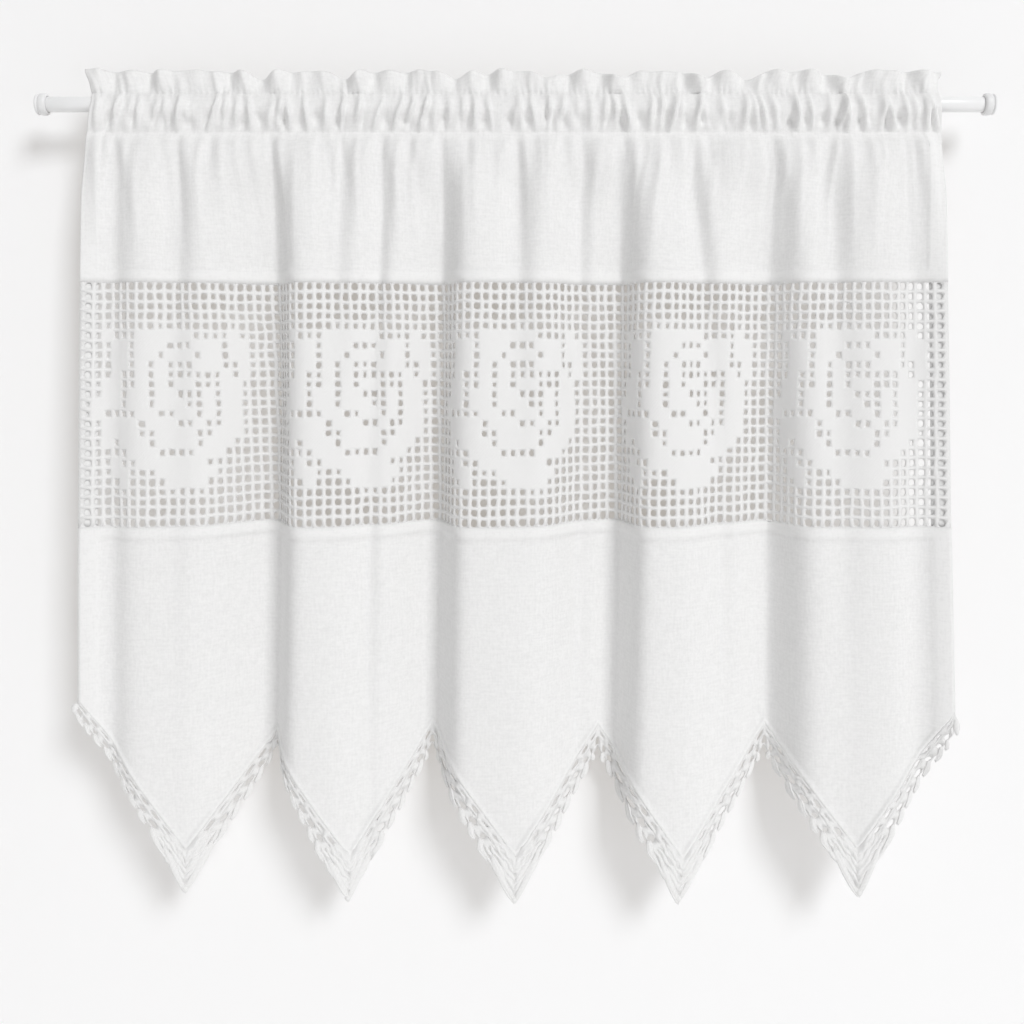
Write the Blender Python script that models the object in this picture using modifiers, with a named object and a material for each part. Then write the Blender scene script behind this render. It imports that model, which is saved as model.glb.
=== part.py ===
"""A short gathered curtain with a crochet band, hanging on a slim rod.

The curtain is a woven top panel with a rod pocket and a frill, an inset band of filet crochet,
a woven lower panel cut in five points, and a crochet edging along the points.
The origin is on the rod's axis, at the middle of the rod. The front faces -Y and +Z is up.
"""

import math
from collections import namedtuple

import bmesh
import bpy
import numpy as np

MM = 0.001

# The rod and its end caps
ROD_RADIUS = 4.6 * MM
OVERALL_HALF_LENGTH = 287.2 * MM
ROUND_SIDES = 20
CAP_LENGTH = 8.0 * MM
CAP_SOCKET_DEPTH = 6.0 * MM
CAP_CLEARANCE = 0.39 * MM
PIECE_GAP = 0.3 * MM

# The cloth, as it is cut
CLOTH_WIDTH = 612.0 * MM
CLOTH_THICKNESS = 1.2 * MM
EDGING_THICKNESS = 1.4 * MM

# Heights of the seams and stitch lines, from the rod's axis
POCKET_HEM_END = -20.0 * MM
BAND_TOP = -105.5 * MM
BAND_BOTTOM = -251.0 * MM
FOLDS_FULL_BELOW = -62.0 * MM

# The woven panels' grids: columns across, heights of rows in millimetres, and rows down
TOP_PANEL_COLUMNS = 60
TOP_PANEL_ROWS = (-74.0, -50.0, -34.0, -21.5)
LOWER_PANEL_ROWS = 7

# The crochet band: its mesh is cut at twice the real pitch of 6 mm
BAND_MARGIN = 6.0 * MM
BAND_REPEATS = 5
BAND_BAR = 4.8 * MM
BAND_CHART = (
    "..........",
    ".#........",
    ".#.#####..",
    ".#.######.",
    ".########.",
    ".########.",
    ".####.###.",
    ".########.",
    ".########.",
    ".#######..",
    ".######...",
    "..........",
)

# The edging: its holes are cut at twice the real pitch of 8 mm, and none in the mitred points
CELLS_A_SIDE = 6
EDGING_BAR = 6.6 * MM
EDGING_CLOSED_BELOW = -443.0 * MM
SCALLOP_RISE = 2.0 * MM
EDGING_DROP = 0.85 * MM

# The side edges of the hanging cloth
SideEdges = namedtuple("SideEdges", "z left right")
SIDE_EDGES = (
    SideEdges(19.0, -257.5, 256.5),
    SideEdges(12.5, -254.5, 253.0),
    SideEdges(0.0, -252.7, 253.5),
    SideEdges(-19.0, -257.3, 254.9),
    SideEdges(-52.0, -259.0, 256.5),
    SideEdges(-250.0, -258.2, 257.0),
    SideEdges(-355.0, -258.0, 258.9),
)

# The folds, as troughs: where each one runs, how deep it is, and how far it spreads to its sides
FOLD_LEVELS = (-45.0, -180.0, -400.0)
CREST_FORWARD = (5.0, 11.0, 13.0)
Trough = namedtuple("Trough", "x_heading x_band x_hem deep_heading deep_band deep_hem wide_left wide_right")
TROUGHS = (
    Trough(-241, -240, -240, 7, 6, 6, 12, 9),
    Trough(-203, -203, -203, 8, 4, 1, 14, 8),
    Trough(-146, -145, -148, 13, 25, 27, 34, 9),
    Trough(-106, -108, -110, 8, 3, 0, 13, 8),
    Trough(-80, -86, -88, 8, 7, 3, 15, 6),
    Trough(-44, -46, -49, 13, 25, 27, 32, 9),
    Trough(1, 2, 2, 9, 3, 0, 15, 8),
    Trough(38, 38, 36, 7, 6, 4, 14, 6),
    Trough(64, 63, 58, 13, 27, 27, 34, 9),
    Trough(106, 119, 122, 8, 7, 3, 16, 7),
    Trough(152, 153, 153, 13, 23, 26, 32, 13),
    Trough(189, 193, 195, 8, 4, 1, 14, 9),
    Trough(236, 238, 240, 5, 5, 6, 12, 12),
)
VALLEY_LIFT = 0.14
VALLEY_LIFT_LIMIT = 1.5
CLOTH_LINE_PLACES = 700

# The pocket and the frill, as half a section from the lower stitching up to the fold at the top
PocketRow = namedtuple("PocketRow", "out z pucker ruffle dip")
POCKET_ROWS = (
    PocketRow(1.0, -16.5, 0.3, 0.0, 0.0),
    PocketRow(5.3, -9.0, 1.8, 0.0, 0.0),
    PocketRow(6.0, 0.0, 1.3, 0.0, 0.0),
    PocketRow(4.4, 3.95, 0.3, 0.0, 0.0),
    PocketRow(1.0, 6.3, 0.0, 0.0, 0.0),
    PocketRow(1.3, 13.0, 0.0, 1.6, 0.4),
    PocketRow(1.0, 19.4, 0.0, 3.2, 1.0),
)
FRILL_FOLD = PocketRow(0.0, 20.4, 0.0, 3.2, 1.0)
PUCKER_PITCH = 19.0
SLOW_PUCKER_PITCH = 31.0
SLOW_PUCKER_SHARE = 0.4
RUFFLE_PITCH = 49.4
FRILL_DIPS = (-152, -102, -36, 20, 62, 111, 140, 198)
FRILL_DIP_DEPTH = 4.5
FRILL_DIP_WIDTH = 8.0

# The points of the hem: corners of the cloth, and of the edging's outer edge below them
HemCorner = namedtuple("HemCorner", "x z outer_x outer_z")
HEM_CORNERS = (
    HemCorner(-258.0, -354.5, -260.2, -372.0),
    HemCorner(-195.6, -444.6, -195.9, -470.1),
    HemCorner(-144.9, -381.9, -143.4, -391.6),
    HemCorner(-98.3, -448.9, -99.3, -475.3),
    HemCorner(-50.8, -378.6, -51.0, -393.7),
    HemCorner(0.0, -447.5, -0.9, -475.1),
    HemCorner(50.2, -378.8, 49.8, -396.0),
    HemCorner(98.7, -449.4, 95.9, -474.5),
    HemCorner(152.2, -378.1, 151.2, -395.0),
    HemCorner(201.3, -442.9, 202.3, -470.6),
    HemCorner(258.9, -362.0, 260.1, -375.0),
)


def between_levels(z, heading, band, hem):
    """A fold's measure at height z: a smooth curve through its three measures."""
    top, middle, bottom = (level * MM for level in FOLD_LEVELS)
    down = min(max((top - z) / (top - bottom), 0.0), 1.0)
    half = (top - middle) / (top - bottom)
    return (
        heading * (down - half) * (down - 1) / half
        + band * down * (down - 1) / (half * (half - 1))
        + hem * down * (down - half) / (1 - half)
    )


def trough_depth(x, z):
    """How far the folds push the cloth back, in metres, at x and height z."""
    depth = np.zeros_like(np.asarray(x, float))
    for t in TROUGHS:
        away = x - between_levels(z, t.x_heading, t.x_band, t.x_hem) * MM
        width = np.where(away < 0, t.wide_left, t.wide_right) * MM
        deepest = between_levels(z, t.deep_heading, t.deep_band, t.deep_hem) * MM
        depth += deepest * np.exp(-((away / width) ** 2))
    return depth


def cloth_y(x, z):
    """Where the cloth lies, front to back: flat at the pocket's stitching, then in its folds."""
    down = min(max((POCKET_HEM_END - z) / (POCKET_HEM_END - FOLDS_FULL_BELOW), 0.0), 1.0)
    ease = down * down * (3 - 2 * down)
    folded = trough_depth(x, z) - between_levels(z, *CREST_FORWARD) * MM
    return ease * folded - (1 - ease) * POCKET_ROWS[0].out * MM


def cloth_lift(x, z):
    """How much higher the cloth hangs at x than it would flat, because its valleys are drawn up."""
    down = min(max((FOLDS_FULL_BELOW - z) / (FOLDS_FULL_BELOW - BAND_BOTTOM), 0.0), VALLEY_LIFT_LIMIT)
    return VALLEY_LIFT * down / VALLEY_LIFT_LIMIT * trough_depth(x, z)


def cloth_line(z):
    """Places across the hanging cloth at height z, and how far along the flat cloth each one is."""
    heights = [-row.z * MM for row in SIDE_EDGES]
    left = np.interp(-z, heights, [row.left * MM for row in SIDE_EDGES])
    right = np.interp(-z, heights, [row.right * MM for row in SIDE_EDGES])
    x = np.linspace(left, right, CLOTH_LINE_PLACES)
    steps = np.hypot(np.diff(x), np.diff(cloth_y(x, z)))
    along = np.concatenate([[0.0], np.cumsum(steps)])
    return x, along * CLOTH_WIDTH / along[-1]


def hung_x(distance, z):
    """Where a point of the flat cloth hangs, from its distance to the left edge."""
    x, along = cloth_line(z)
    return float(np.interp(distance, along, x))


def flat_distance(x, z):
    """The distance to the left edge, on the flat cloth, of the point that hangs at x."""
    places, along = cloth_line(z)
    return float(np.interp(x, places, along))


def collection_named(name):
    collection = bpy.data.collections.new(name)
    bpy.context.scene.collection.children.link(collection)
    return collection


def plain_material(name, colour, roughness):
    material = bpy.data.materials.new(name)
    material.use_nodes = True
    shader = material.node_tree.nodes["Principled BSDF"]
    shader.inputs["Base Color"].default_value = (*colour, 1.0)
    shader.inputs["Roughness"].default_value = roughness
    shader.inputs["Metallic"].default_value = 0.0
    return material


def grid_of(columns, rows, place):
    """A grid with a vertex for each column and row, put where place says."""
    sheet = bmesh.new()
    across, up = len(columns) - 1, len(rows) - 1
    bmesh.ops.create_grid(sheet, x_segments=across, y_segments=up, size=1.0)
    for v in sheet.verts:
        column = round((v.co.x + 1) / 2 * across)
        row = round((v.co.y + 1) / 2 * up)
        v.co = place(columns[column], rows[row])
    sheet.normal_update()
    return sheet


def hang(sheet):
    """Moves a flat sheet's points, at their distance and height, to where they hang across."""
    for v in sheet.verts:
        v.co.x = hung_x(v.co.x, v.co.z)


def drape(sheet):
    """Lays a sheet that is spread in the plane of the rod into the cloth's folds."""
    for v in sheet.verts:
        x, z = v.co.x, v.co.z
        v.co.y = float(cloth_y(x, z))
        v.co.z = z + float(cloth_lift(x, z))


def open_cells(sheet, faces, bar):
    """Leaves a frame, half a bar wide, around each of these cells and takes the rest out."""
    bmesh.ops.inset_individual(sheet, faces=faces, thickness=bar / 2, use_even_offset=True)
    bmesh.ops.delete(sheet, geom=faces, context="FACES")


def finish_sheet(sheet, name, thickness, material, collection):
    """Makes an object of the sheet and gives it its thickness."""
    mesh = bpy.data.meshes.new(name)
    sheet.to_mesh(mesh)
    sheet.free()
    mesh.shade_smooth()
    mesh.materials.append(material)
    cloth = bpy.data.objects.new(name, mesh)
    collection.objects.link(cloth)
    solidify = cloth.modifiers.new("Thickness", "SOLIDIFY")
    solidify.thickness = thickness
    solidify.offset = 0.0
    return cloth


def make_rod(collection):
    """The rod, long enough to end inside both caps."""
    half_length = OVERALL_HALF_LENGTH - CAP_LENGTH + CAP_SOCKET_DEPTH - PIECE_GAP
    bpy.ops.mesh.primitive_cylinder_add(
        vertices=ROUND_SIDES, radius=ROD_RADIUS, depth=2 * half_length, rotation=(0, math.pi / 2, 0)
    )
    rod = bpy.context.object
    rod.name = rod.data.name = "rod"
    rod.data.shade_smooth()
    rod.data.set_sharp_from_angle(angle=math.radians(40))
    rod.data.materials.append(plain_material("rod_paint", (0.88, 0.88, 0.87), 0.35))
    for old in rod.users_collection:
        old.objects.unlink(rod)
    collection.objects.link(rod)


def make_caps(collection):
    """Two turned caps, each a cup over the rod's end, with a rim and a flat outer face."""
    socket_radius = ROD_RADIUS + CAP_CLEARANCE
    profile_mm = (
        (0.0, CAP_LENGTH / MM),
        (4.8, CAP_LENGTH / MM),
        (6.2, 7.3),
        (6.2, 6.3),
        (5.7, 5.9),
        (6.6, 5.0),
        (6.6, 1.2),
        (5.9, 0.0),
        (socket_radius / MM, 0.0),
        (socket_radius / MM, CAP_SOCKET_DEPTH / MM),
        (0.0, CAP_SOCKET_DEPTH / MM),
    )
    for name, side in (("end_cap_left", -1), ("end_cap_right", 1)):
        mesh = bpy.data.meshes.new(name)
        points = [(radius * MM, 0.0, height * MM) for radius, height in profile_mm]
        mesh.from_pydata(points, [(i, i + 1) for i in range(len(points) - 1)], [])
        mesh.materials.append(plain_material(name + "_plastic", (0.89, 0.89, 0.88), 0.4))
        cap = bpy.data.objects.new(name, mesh)
        collection.objects.link(cap)
        cap.location.x = side * (OVERALL_HALF_LENGTH - CAP_LENGTH)
        cap.rotation_euler.y = side * math.pi / 2
        turn = cap.modifiers.new("Turned", "SCREW")
        turn.steps = turn.render_steps = ROUND_SIDES
        turn.use_merge_vertices = True
        turn.merge_threshold = 0.0001
        turn.use_smooth_shade = True


def pucker_at(x):
    """How strongly the gathered pocket stands out at x, from 0 to 1, unevenly."""
    quick = 0.5 + 0.5 * math.cos(2 * math.pi * x / (PUCKER_PITCH * MM))
    slow = 0.5 + 0.5 * math.cos(2 * math.pi * x / (SLOW_PUCKER_PITCH * MM) + 1.0)
    return quick + (slow - quick) * SLOW_PUCKER_SHARE


def frill_dip(x):
    """How far the frill's top edge dips at x."""
    dips = sum(math.exp(-(((x / MM - dip) / FRILL_DIP_WIDTH) ** 2)) for dip in FRILL_DIPS)
    return FRILL_DIP_DEPTH * MM * min(dips, 1.0)


def pocket_point(distance, row, side):
    """A point of the pocket or frill: side is -1 on the front layer and 1 on the back one."""
    z = row.z * MM
    x = hung_x(distance, z)
    ruffle = row.ruffle * MM * math.sin(2 * math.pi * x / (RUFFLE_PITCH * MM))
    y = side * (row.out + row.pucker * pucker_at(x)) * MM + ruffle
    return x, y, z - row.dip * frill_dip(x)


def make_top_panel(collection):
    """The woven top panel: up the front, over the frill and down behind the rod, as one sheet."""
    front = [("hanging", z, 0) for z in (BAND_TOP, *(z * MM for z in TOP_PANEL_ROWS))]
    front += [("pocket", row, -1) for row in POCKET_ROWS]
    back = [("pocket", row, 1) for row in reversed(POCKET_ROWS)]
    back += [("pocket", POCKET_ROWS[0]._replace(z=POCKET_HEM_END / MM), 1)]
    path = front + [("pocket", FRILL_FOLD, 0)] + back

    def place(distance, step):
        kind, row, side = step
        if kind == "pocket":
            return pocket_point(distance, row, side)
        x = hung_x(distance, row)
        return x, float(cloth_y(x, row)), row + float(cloth_lift(x, row))

    columns = np.linspace(0.0, CLOTH_WIDTH, TOP_PANEL_COLUMNS + 1)
    sheet = grid_of(columns, path, place)
    linen = plain_material("top_panel_cloth", (0.87, 0.87, 0.86), 0.9)
    finish_sheet(sheet, "top_panel", CLOTH_THICKNESS, linen, collection)


def make_lace_band(collection):
    """The crochet band: a grid of cells, open where the chart has a dot and no hem lies behind."""
    chart_width = len(BAND_CHART[0])
    cells = BAND_REPEATS * chart_width
    inner = np.linspace(BAND_MARGIN, CLOTH_WIDTH - BAND_MARGIN, cells + 1)
    columns = [0.0, *inner, CLOTH_WIDTH]
    rows = np.linspace(BAND_BOTTOM, BAND_TOP - PIECE_GAP, len(BAND_CHART) + 1)
    sheet = grid_of(columns, rows, lambda distance, z: (distance, 0.0, z))
    pitch = inner[1] - inner[0]
    open_faces = []
    for face in sheet.faces:
        centre = face.calc_center_median()
        column = math.floor((centre.x - BAND_MARGIN) / pitch)
        row = int((rows[-1] - centre.z) / (rows[1] - rows[0]))
        clear_of_hems = 0 < column < cells - 1
        if clear_of_hems and BAND_CHART[row][column % chart_width] == ".":
            open_faces.append(face)
    open_cells(sheet, open_faces, BAND_BAR)
    hang(sheet)
    drape(sheet)
    yarn = plain_material("lace_band_yarn", (0.88, 0.87, 0.86), 0.95)
    finish_sheet(sheet, "lace_band", CLOTH_THICKNESS, yarn, collection)


def hem_line():
    """Points along the cloth's pointed hem, and along the edging's outer edge below them."""
    inner, outer = [], []
    for a, b in zip(HEM_CORNERS, HEM_CORNERS[1:]):
        for step in range(CELLS_A_SIDE):
            share = step / CELLS_A_SIDE
            inner.append(((a.x + (b.x - a.x) * share) * MM, (a.z + (b.z - a.z) * share) * MM))
            outer_x = a.outer_x + (b.outer_x - a.outer_x) * share
            outer_z = a.outer_z + (b.outer_z - a.outer_z) * share
            outer.append((outer_x * MM, outer_z * MM))
    last = HEM_CORNERS[-1]
    inner.append((last.x * MM, last.z * MM))
    outer.append((last.outer_x * MM, last.outer_z * MM))
    return inner, outer


def make_lower_panel(collection):
    """The woven lower panel: each column of its grid ends on the pointed hem."""
    inner, _ = hem_line()
    columns = [(flat_distance(x, z), z) for x, z in inner]
    top = BAND_BOTTOM - PIECE_GAP
    rows = np.linspace(0.0, 1.0, LOWER_PANEL_ROWS + 1)
    sheet = grid_of(columns, rows, lambda end, share: (end[0], 0.0, end[1] + (top - end[1]) * share))
    hang(sheet)
    drape(sheet)
    linen = plain_material("lower_panel_cloth", (0.87, 0.87, 0.86), 0.9)
    finish_sheet(sheet, "lower_panel", CLOTH_THICKNESS, linen, collection)


def make_edging(collection):
    """The crochet edging: one strip along all the points, with a hole and a scallop in each cell."""
    inner, outer = hem_line()
    below = [(x, z - EDGING_DROP) for x, z in inner]
    pairs = list(zip(outer, below))
    sheet = grid_of(pairs, (0, 1), lambda pair, row: (pair[row][0], 0.0, pair[row][1]))
    outer_points = {(round(x, 6), round(z, 6)) for x, z in outer}
    outer_edges = [
        e
        for e in sheet.edges
        if all((round(v.co.x, 6), round(v.co.z, 6)) in outer_points for v in e.verts)
    ]
    made = bmesh.ops.subdivide_edges(sheet, edges=outer_edges, cuts=1)
    for v in (g for g in made["geom_inner"] if isinstance(g, bmesh.types.BMVert)):
        ends = [e.other_vert(v) for e in v.link_edges]
        along = (ends[1].co - ends[0].co).normalized()
        away = v.co - v.link_faces[0].calc_center_median()
        away -= along * away.dot(along)
        v.co += away.normalized() * SCALLOP_RISE
    sheet.normal_update()
    cells = [face for face in sheet.faces if face.calc_center_median().z > EDGING_CLOSED_BELOW]
    open_cells(sheet, cells, EDGING_BAR)
    drape(sheet)
    yarn = plain_material("edging_yarn", (0.88, 0.87, 0.86), 0.95)
    finish_sheet(sheet, "edging", EDGING_THICKNESS, yarn, collection)


def main():
    for old in list(bpy.data.objects):
        bpy.data.objects.remove(old, do_unlink=True)
    curtain = collection_named("crochet_lace_curtain")
    make_rod(curtain)
    make_caps(curtain)
    make_top_panel(curtain)
    make_lace_band(curtain)
    make_lower_panel(curtain)
    make_edging(curtain)


if __name__ == "__main__":
    main()
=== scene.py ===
"""Looks of a short gathered curtain with a crochet lace band, hanging on a slim rod.

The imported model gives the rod, its caps and the curtain's plain solids. This file models the finish
around them: the finely gathered cloth, the filet crochet, the crochet edging and the sewing.
Lengths are in metres, +Z is up, the front faces -Y, and the folds repeat those of the solids.
"""

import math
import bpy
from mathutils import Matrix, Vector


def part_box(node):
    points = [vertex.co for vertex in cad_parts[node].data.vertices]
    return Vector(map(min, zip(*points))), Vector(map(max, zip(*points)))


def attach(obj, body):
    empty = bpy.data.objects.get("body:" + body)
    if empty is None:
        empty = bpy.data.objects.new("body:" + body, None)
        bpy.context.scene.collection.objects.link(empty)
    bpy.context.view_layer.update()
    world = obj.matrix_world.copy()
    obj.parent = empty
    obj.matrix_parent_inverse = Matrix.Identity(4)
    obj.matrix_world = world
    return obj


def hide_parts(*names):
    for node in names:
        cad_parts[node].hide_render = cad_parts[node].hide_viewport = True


bl_info = {
    "name": "Crochet Lace Curtain",
    "version": (1, 0, 0),
    "blender": (4, 5, 0),
    "location": "3D View > Sidebar > Curtain",
    "description": "Models the cloth, crochet, sewing and rod of a short lace curtain",
    "category": "Add Mesh",
}

from collections import namedtuple

import bmesh
import bpy
import numpy as np
from bpy.props import FloatProperty, FloatVectorProperty, IntProperty, PointerProperty
from mathutils import Matrix, Vector

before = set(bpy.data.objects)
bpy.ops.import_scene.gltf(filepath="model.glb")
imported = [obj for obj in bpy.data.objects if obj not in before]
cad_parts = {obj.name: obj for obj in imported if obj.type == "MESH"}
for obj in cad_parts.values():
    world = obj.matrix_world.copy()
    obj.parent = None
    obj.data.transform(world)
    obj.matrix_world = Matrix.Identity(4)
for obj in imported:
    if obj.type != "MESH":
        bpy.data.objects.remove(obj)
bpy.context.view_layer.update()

MM = 0.001
BODY = "root"

# The cloth, as it is cut, and the heights of its seams and stitch lines
CLOTH_WIDTH = 612.0 * MM
POCKET_STITCHING = -16.5 * MM
POCKET_HEM_END = -20.0 * MM
FRILL_STITCHING = 6.3 * MM
FRILL_TOP = 20.4 * MM
BAND_TOP = -107.3 * MM
BAND_BOTTOM = -252.8 * MM
FOLDS_FULL_BELOW = -62.0 * MM
FRONT_AT_POCKET = 1.0 * MM
BACK_BELOW_POCKET = 1.2 * MM
SIDE_HEM = 11.5 * MM
SEAM_HEM = 7.0 * MM

# The side edges of the hanging cloth, in millimetres
SideEdges = namedtuple("SideEdges", "z left right")
SIDE_EDGES = (
    SideEdges(19.0, -257.5, 256.5),
    SideEdges(12.5, -254.5, 253.0),
    SideEdges(0.0, -252.7, 253.5),
    SideEdges(-19.0, -257.3, 254.9),
    SideEdges(-52.0, -259.0, 256.5),
    SideEdges(-250.0, -258.2, 257.0),
    SideEdges(-355.0, -258.0, 258.9),
)

# The folds, as troughs: where each one runs, how deep it is, and how far it spreads to its sides
FOLD_LEVELS = (-45.0, -180.0, -400.0)
CREST_FORWARD = (5.0, 11.0, 13.0)
Trough = namedtuple(
    "Trough", "x_heading x_band x_hem deep_heading deep_band deep_hem wide_left wide_right"
)
TROUGHS = (
    Trough(-241, -240, -240, 7, 6, 6, 12, 9),
    Trough(-203, -203, -203, 8, 4, 1, 14, 8),
    Trough(-146, -145, -148, 13, 25, 27, 34, 9),
    Trough(-106, -108, -110, 8, 3, 0, 13, 8),
    Trough(-80, -86, -88, 8, 7, 3, 15, 6),
    Trough(-44, -46, -49, 13, 25, 27, 32, 9),
    Trough(1, 2, 2, 9, 3, 0, 15, 8),
    Trough(38, 38, 36, 7, 6, 4, 14, 6),
    Trough(64, 63, 58, 13, 27, 27, 34, 9),
    Trough(106, 119, 122, 8, 7, 3, 16, 7),
    Trough(152, 153, 153, 13, 23, 26, 32, 13),
    Trough(189, 193, 195, 8, 4, 1, 14, 9),
    Trough(236, 238, 240, 5, 5, 6, 12, 12),
)
VALLEY_LIFT = 0.14
VALLEY_LIFT_LIMIT = 1.5
CLOTH_LINE_PLACES = 700

# The points of the hem, in millimetres: corners of the cloth, and of the edging's outer edge
HemCorner = namedtuple("HemCorner", "x z outer_x outer_z")
HEM_CORNERS = (
    HemCorner(-258.0, -354.5, -260.2, -372.0),
    HemCorner(-195.6, -444.6, -195.9, -470.1),
    HemCorner(-144.9, -381.9, -143.4, -391.6),
    HemCorner(-98.3, -448.9, -99.3, -475.3),
    HemCorner(-50.8, -378.6, -51.0, -393.7),
    HemCorner(0.0, -447.5, -0.9, -475.1),
    HemCorner(50.2, -378.8, 49.8, -396.0),
    HemCorner(98.7, -449.4, 95.9, -474.5),
    HemCorner(152.2, -378.1, 151.2, -395.0),
    HemCorner(201.3, -442.9, 202.3, -470.6),
    HemCorner(258.9, -362.0, 260.1, -375.0),
)

# The knot at the edging's left end, as x and z
FIRST_KNOT = (-260.6 * MM, -362.0 * MM)

# The frill's top edge, in millimetres: its dips, and its ripples as size, length and start
FRILL_DIPS = (-152, -102, -36, 20, 62, 111, 140, 198)
FRILL_DIP_DEPTH = 4.5
FRILL_DIP_WIDTH = 8.0
FRILL_RIPPLES = ((0.25, 4.3, 0.0), (0.2, 2.6, 2.0))

# One rose of the crochet band, row by row from the top: a hash is a filled square
ROSE_CHART = (
    ".....................",
    ".....................",
    ".....................",
    ".....................",
    ".....................",
    "..#...######....#....",
    "...##.###...###.##...",
    "...##.##.###.##.##...",
    "...##.#.#...###..#...",
    "...#..#.#......#.#...",
    "..##..#.#.##...##....",
    "..##.##.##...#.##....",
    ".###.##.###..#.##....",
    ".#....##..##.#.##....",
    "..####.###..#..##....",
    "..####..####..###....",
    "..#.###.####.###.....",
    ".....###....###......",
    "...#..#######........",
    "...##...######.......",
    "....#....####........",
    ".....................",
    ".....................",
    ".....................",
    ".....................",
)
ROSE_STARTS = (0, 23, 43, 65, 85)
BAND_COLUMNS = 105


def unit(vectors):
    """The same directions with a length of 1."""
    return vectors / np.maximum(np.linalg.norm(vectors, axis=-1, keepdims=True), 1e-12)


def smooth_step(share):
    """A share that starts and ends gently as it goes from 0 to 1."""
    share = np.clip(share, 0.0, 1.0)
    return share * share * (3 - 2 * share)


def bell(away, width):
    """A smooth bump: 1 where away is 0, and nearly nothing from two widths on."""
    return np.exp(-((away / width) ** 2))


def between_levels(z, heading, band, hem):
    """A fold's measure at height z: a smooth curve through its three measures."""
    top, middle, bottom = (level * MM for level in FOLD_LEVELS)
    down = np.clip((top - z) / (top - bottom), 0.0, 1.0)
    half = (top - middle) / (top - bottom)
    return (
        heading * (down - half) * (down - 1) / half
        + band * down * (down - 1) / (half * (half - 1))
        + hem * down * (down - half) / (1 - half)
    )


def trough_depth(x, z):
    """How far the folds push the cloth back at x and height z."""
    depth = np.zeros(np.broadcast(x, z).shape)
    for t in TROUGHS:
        away = x - between_levels(z, t.x_heading, t.x_band, t.x_hem) * MM
        width = np.where(away < 0, t.wide_left, t.wide_right) * MM
        deepest = between_levels(z, t.deep_heading, t.deep_band, t.deep_hem) * MM
        depth = depth + deepest * bell(away, width)
    return depth


def cloth_y(x, z):
    """Where the cloth lies, front to back: flat at the pocket's stitching, then in its folds."""
    ease = smooth_step((POCKET_HEM_END - z) / (POCKET_HEM_END - FOLDS_FULL_BELOW))
    folded = trough_depth(x, z) - between_levels(z, *CREST_FORWARD) * MM
    return ease * folded - (1 - ease) * FRONT_AT_POCKET


def cloth_lift(x, z):
    """How much higher the cloth hangs at x than it would flat, because its valleys are drawn up."""
    down = (FOLDS_FULL_BELOW - z) / (FOLDS_FULL_BELOW - BAND_BOTTOM)
    down = np.clip(down, 0.0, VALLEY_LIFT_LIMIT)
    return VALLEY_LIFT * down / VALLEY_LIFT_LIMIT * trough_depth(x, z)


def cloth_line(z):
    """Places across the hanging cloth at height z, and how far along the flat cloth each one is."""
    heights = [-row.z * MM for row in SIDE_EDGES]
    left = np.interp(-z, heights, [row.left * MM for row in SIDE_EDGES])
    right = np.interp(-z, heights, [row.right * MM for row in SIDE_EDGES])
    x = np.linspace(left, right, CLOTH_LINE_PLACES)
    steps = np.hypot(np.diff(x), np.diff(cloth_y(x, z)))
    along = np.concatenate([[0.0], np.cumsum(steps)])
    return x, along * CLOTH_WIDTH / along[-1]


# Where the flat cloth hangs, kept for a ladder of heights and a row of distances. A place is kept
# a little inside the table's last rung and distance.
TABLE_TOP = 22.0 * MM
TABLE_STEP = 2.0 * MM
TABLE_ROWS = 252
TABLE_DISTANCES = np.linspace(0.0, CLOTH_WIDTH, 1225)
TABLE_LAST = 1.001
HANG_TABLE = np.array(
    [
        np.interp(TABLE_DISTANCES, *reversed(cloth_line(TABLE_TOP - row * TABLE_STEP)))
        for row in range(TABLE_ROWS)
    ]
)


def hung_x(distance, z):
    """Where points of the flat cloth hang, from their distances to the left edge and heights."""
    row = np.clip((TABLE_TOP - z) / TABLE_STEP, 0, TABLE_ROWS - TABLE_LAST)
    column = np.clip(distance / TABLE_DISTANCES[1], 0, len(TABLE_DISTANCES) - TABLE_LAST)
    r, c = row.astype(int), column.astype(int)
    down, across = row - r, column - c
    upper = HANG_TABLE[r, c] * (1 - across) + HANG_TABLE[r, c + 1] * across
    lower = HANG_TABLE[r + 1, c] * (1 - across) + HANG_TABLE[r + 1, c + 1] * across
    return upper * (1 - down) + lower * down


def lay_in_folds(x, z, out):
    """Points of the cloth at x and height z, and its front-facing normals, out proud of it."""
    step = 0.3 * MM
    slope_x = (cloth_y(x + step, z) - cloth_y(x - step, z)) / (2 * step)
    slope_z = (cloth_y(x, z + step) - cloth_y(x, z - step)) / (2 * step)
    normals = unit(np.stack([slope_x, -np.ones_like(slope_x), slope_z], -1))
    points = np.stack([x, cloth_y(x, z), z + cloth_lift(x, z)], -1)
    return points + normals * np.asarray(out)[..., None], normals


def lay_on_cloth(distance, z, out):
    """The same for points of the flat cloth, from their distances to its left edge."""
    return lay_in_folds(hung_x(distance, z), z, out)


def spaced(rng, spacing, tries, end):
    """Places along the cloth up to an end, at random spacings between two limits in millimetres."""
    places = np.cumsum(rng.uniform(*spacing, tries)) * MM
    return places[places < end]


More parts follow.
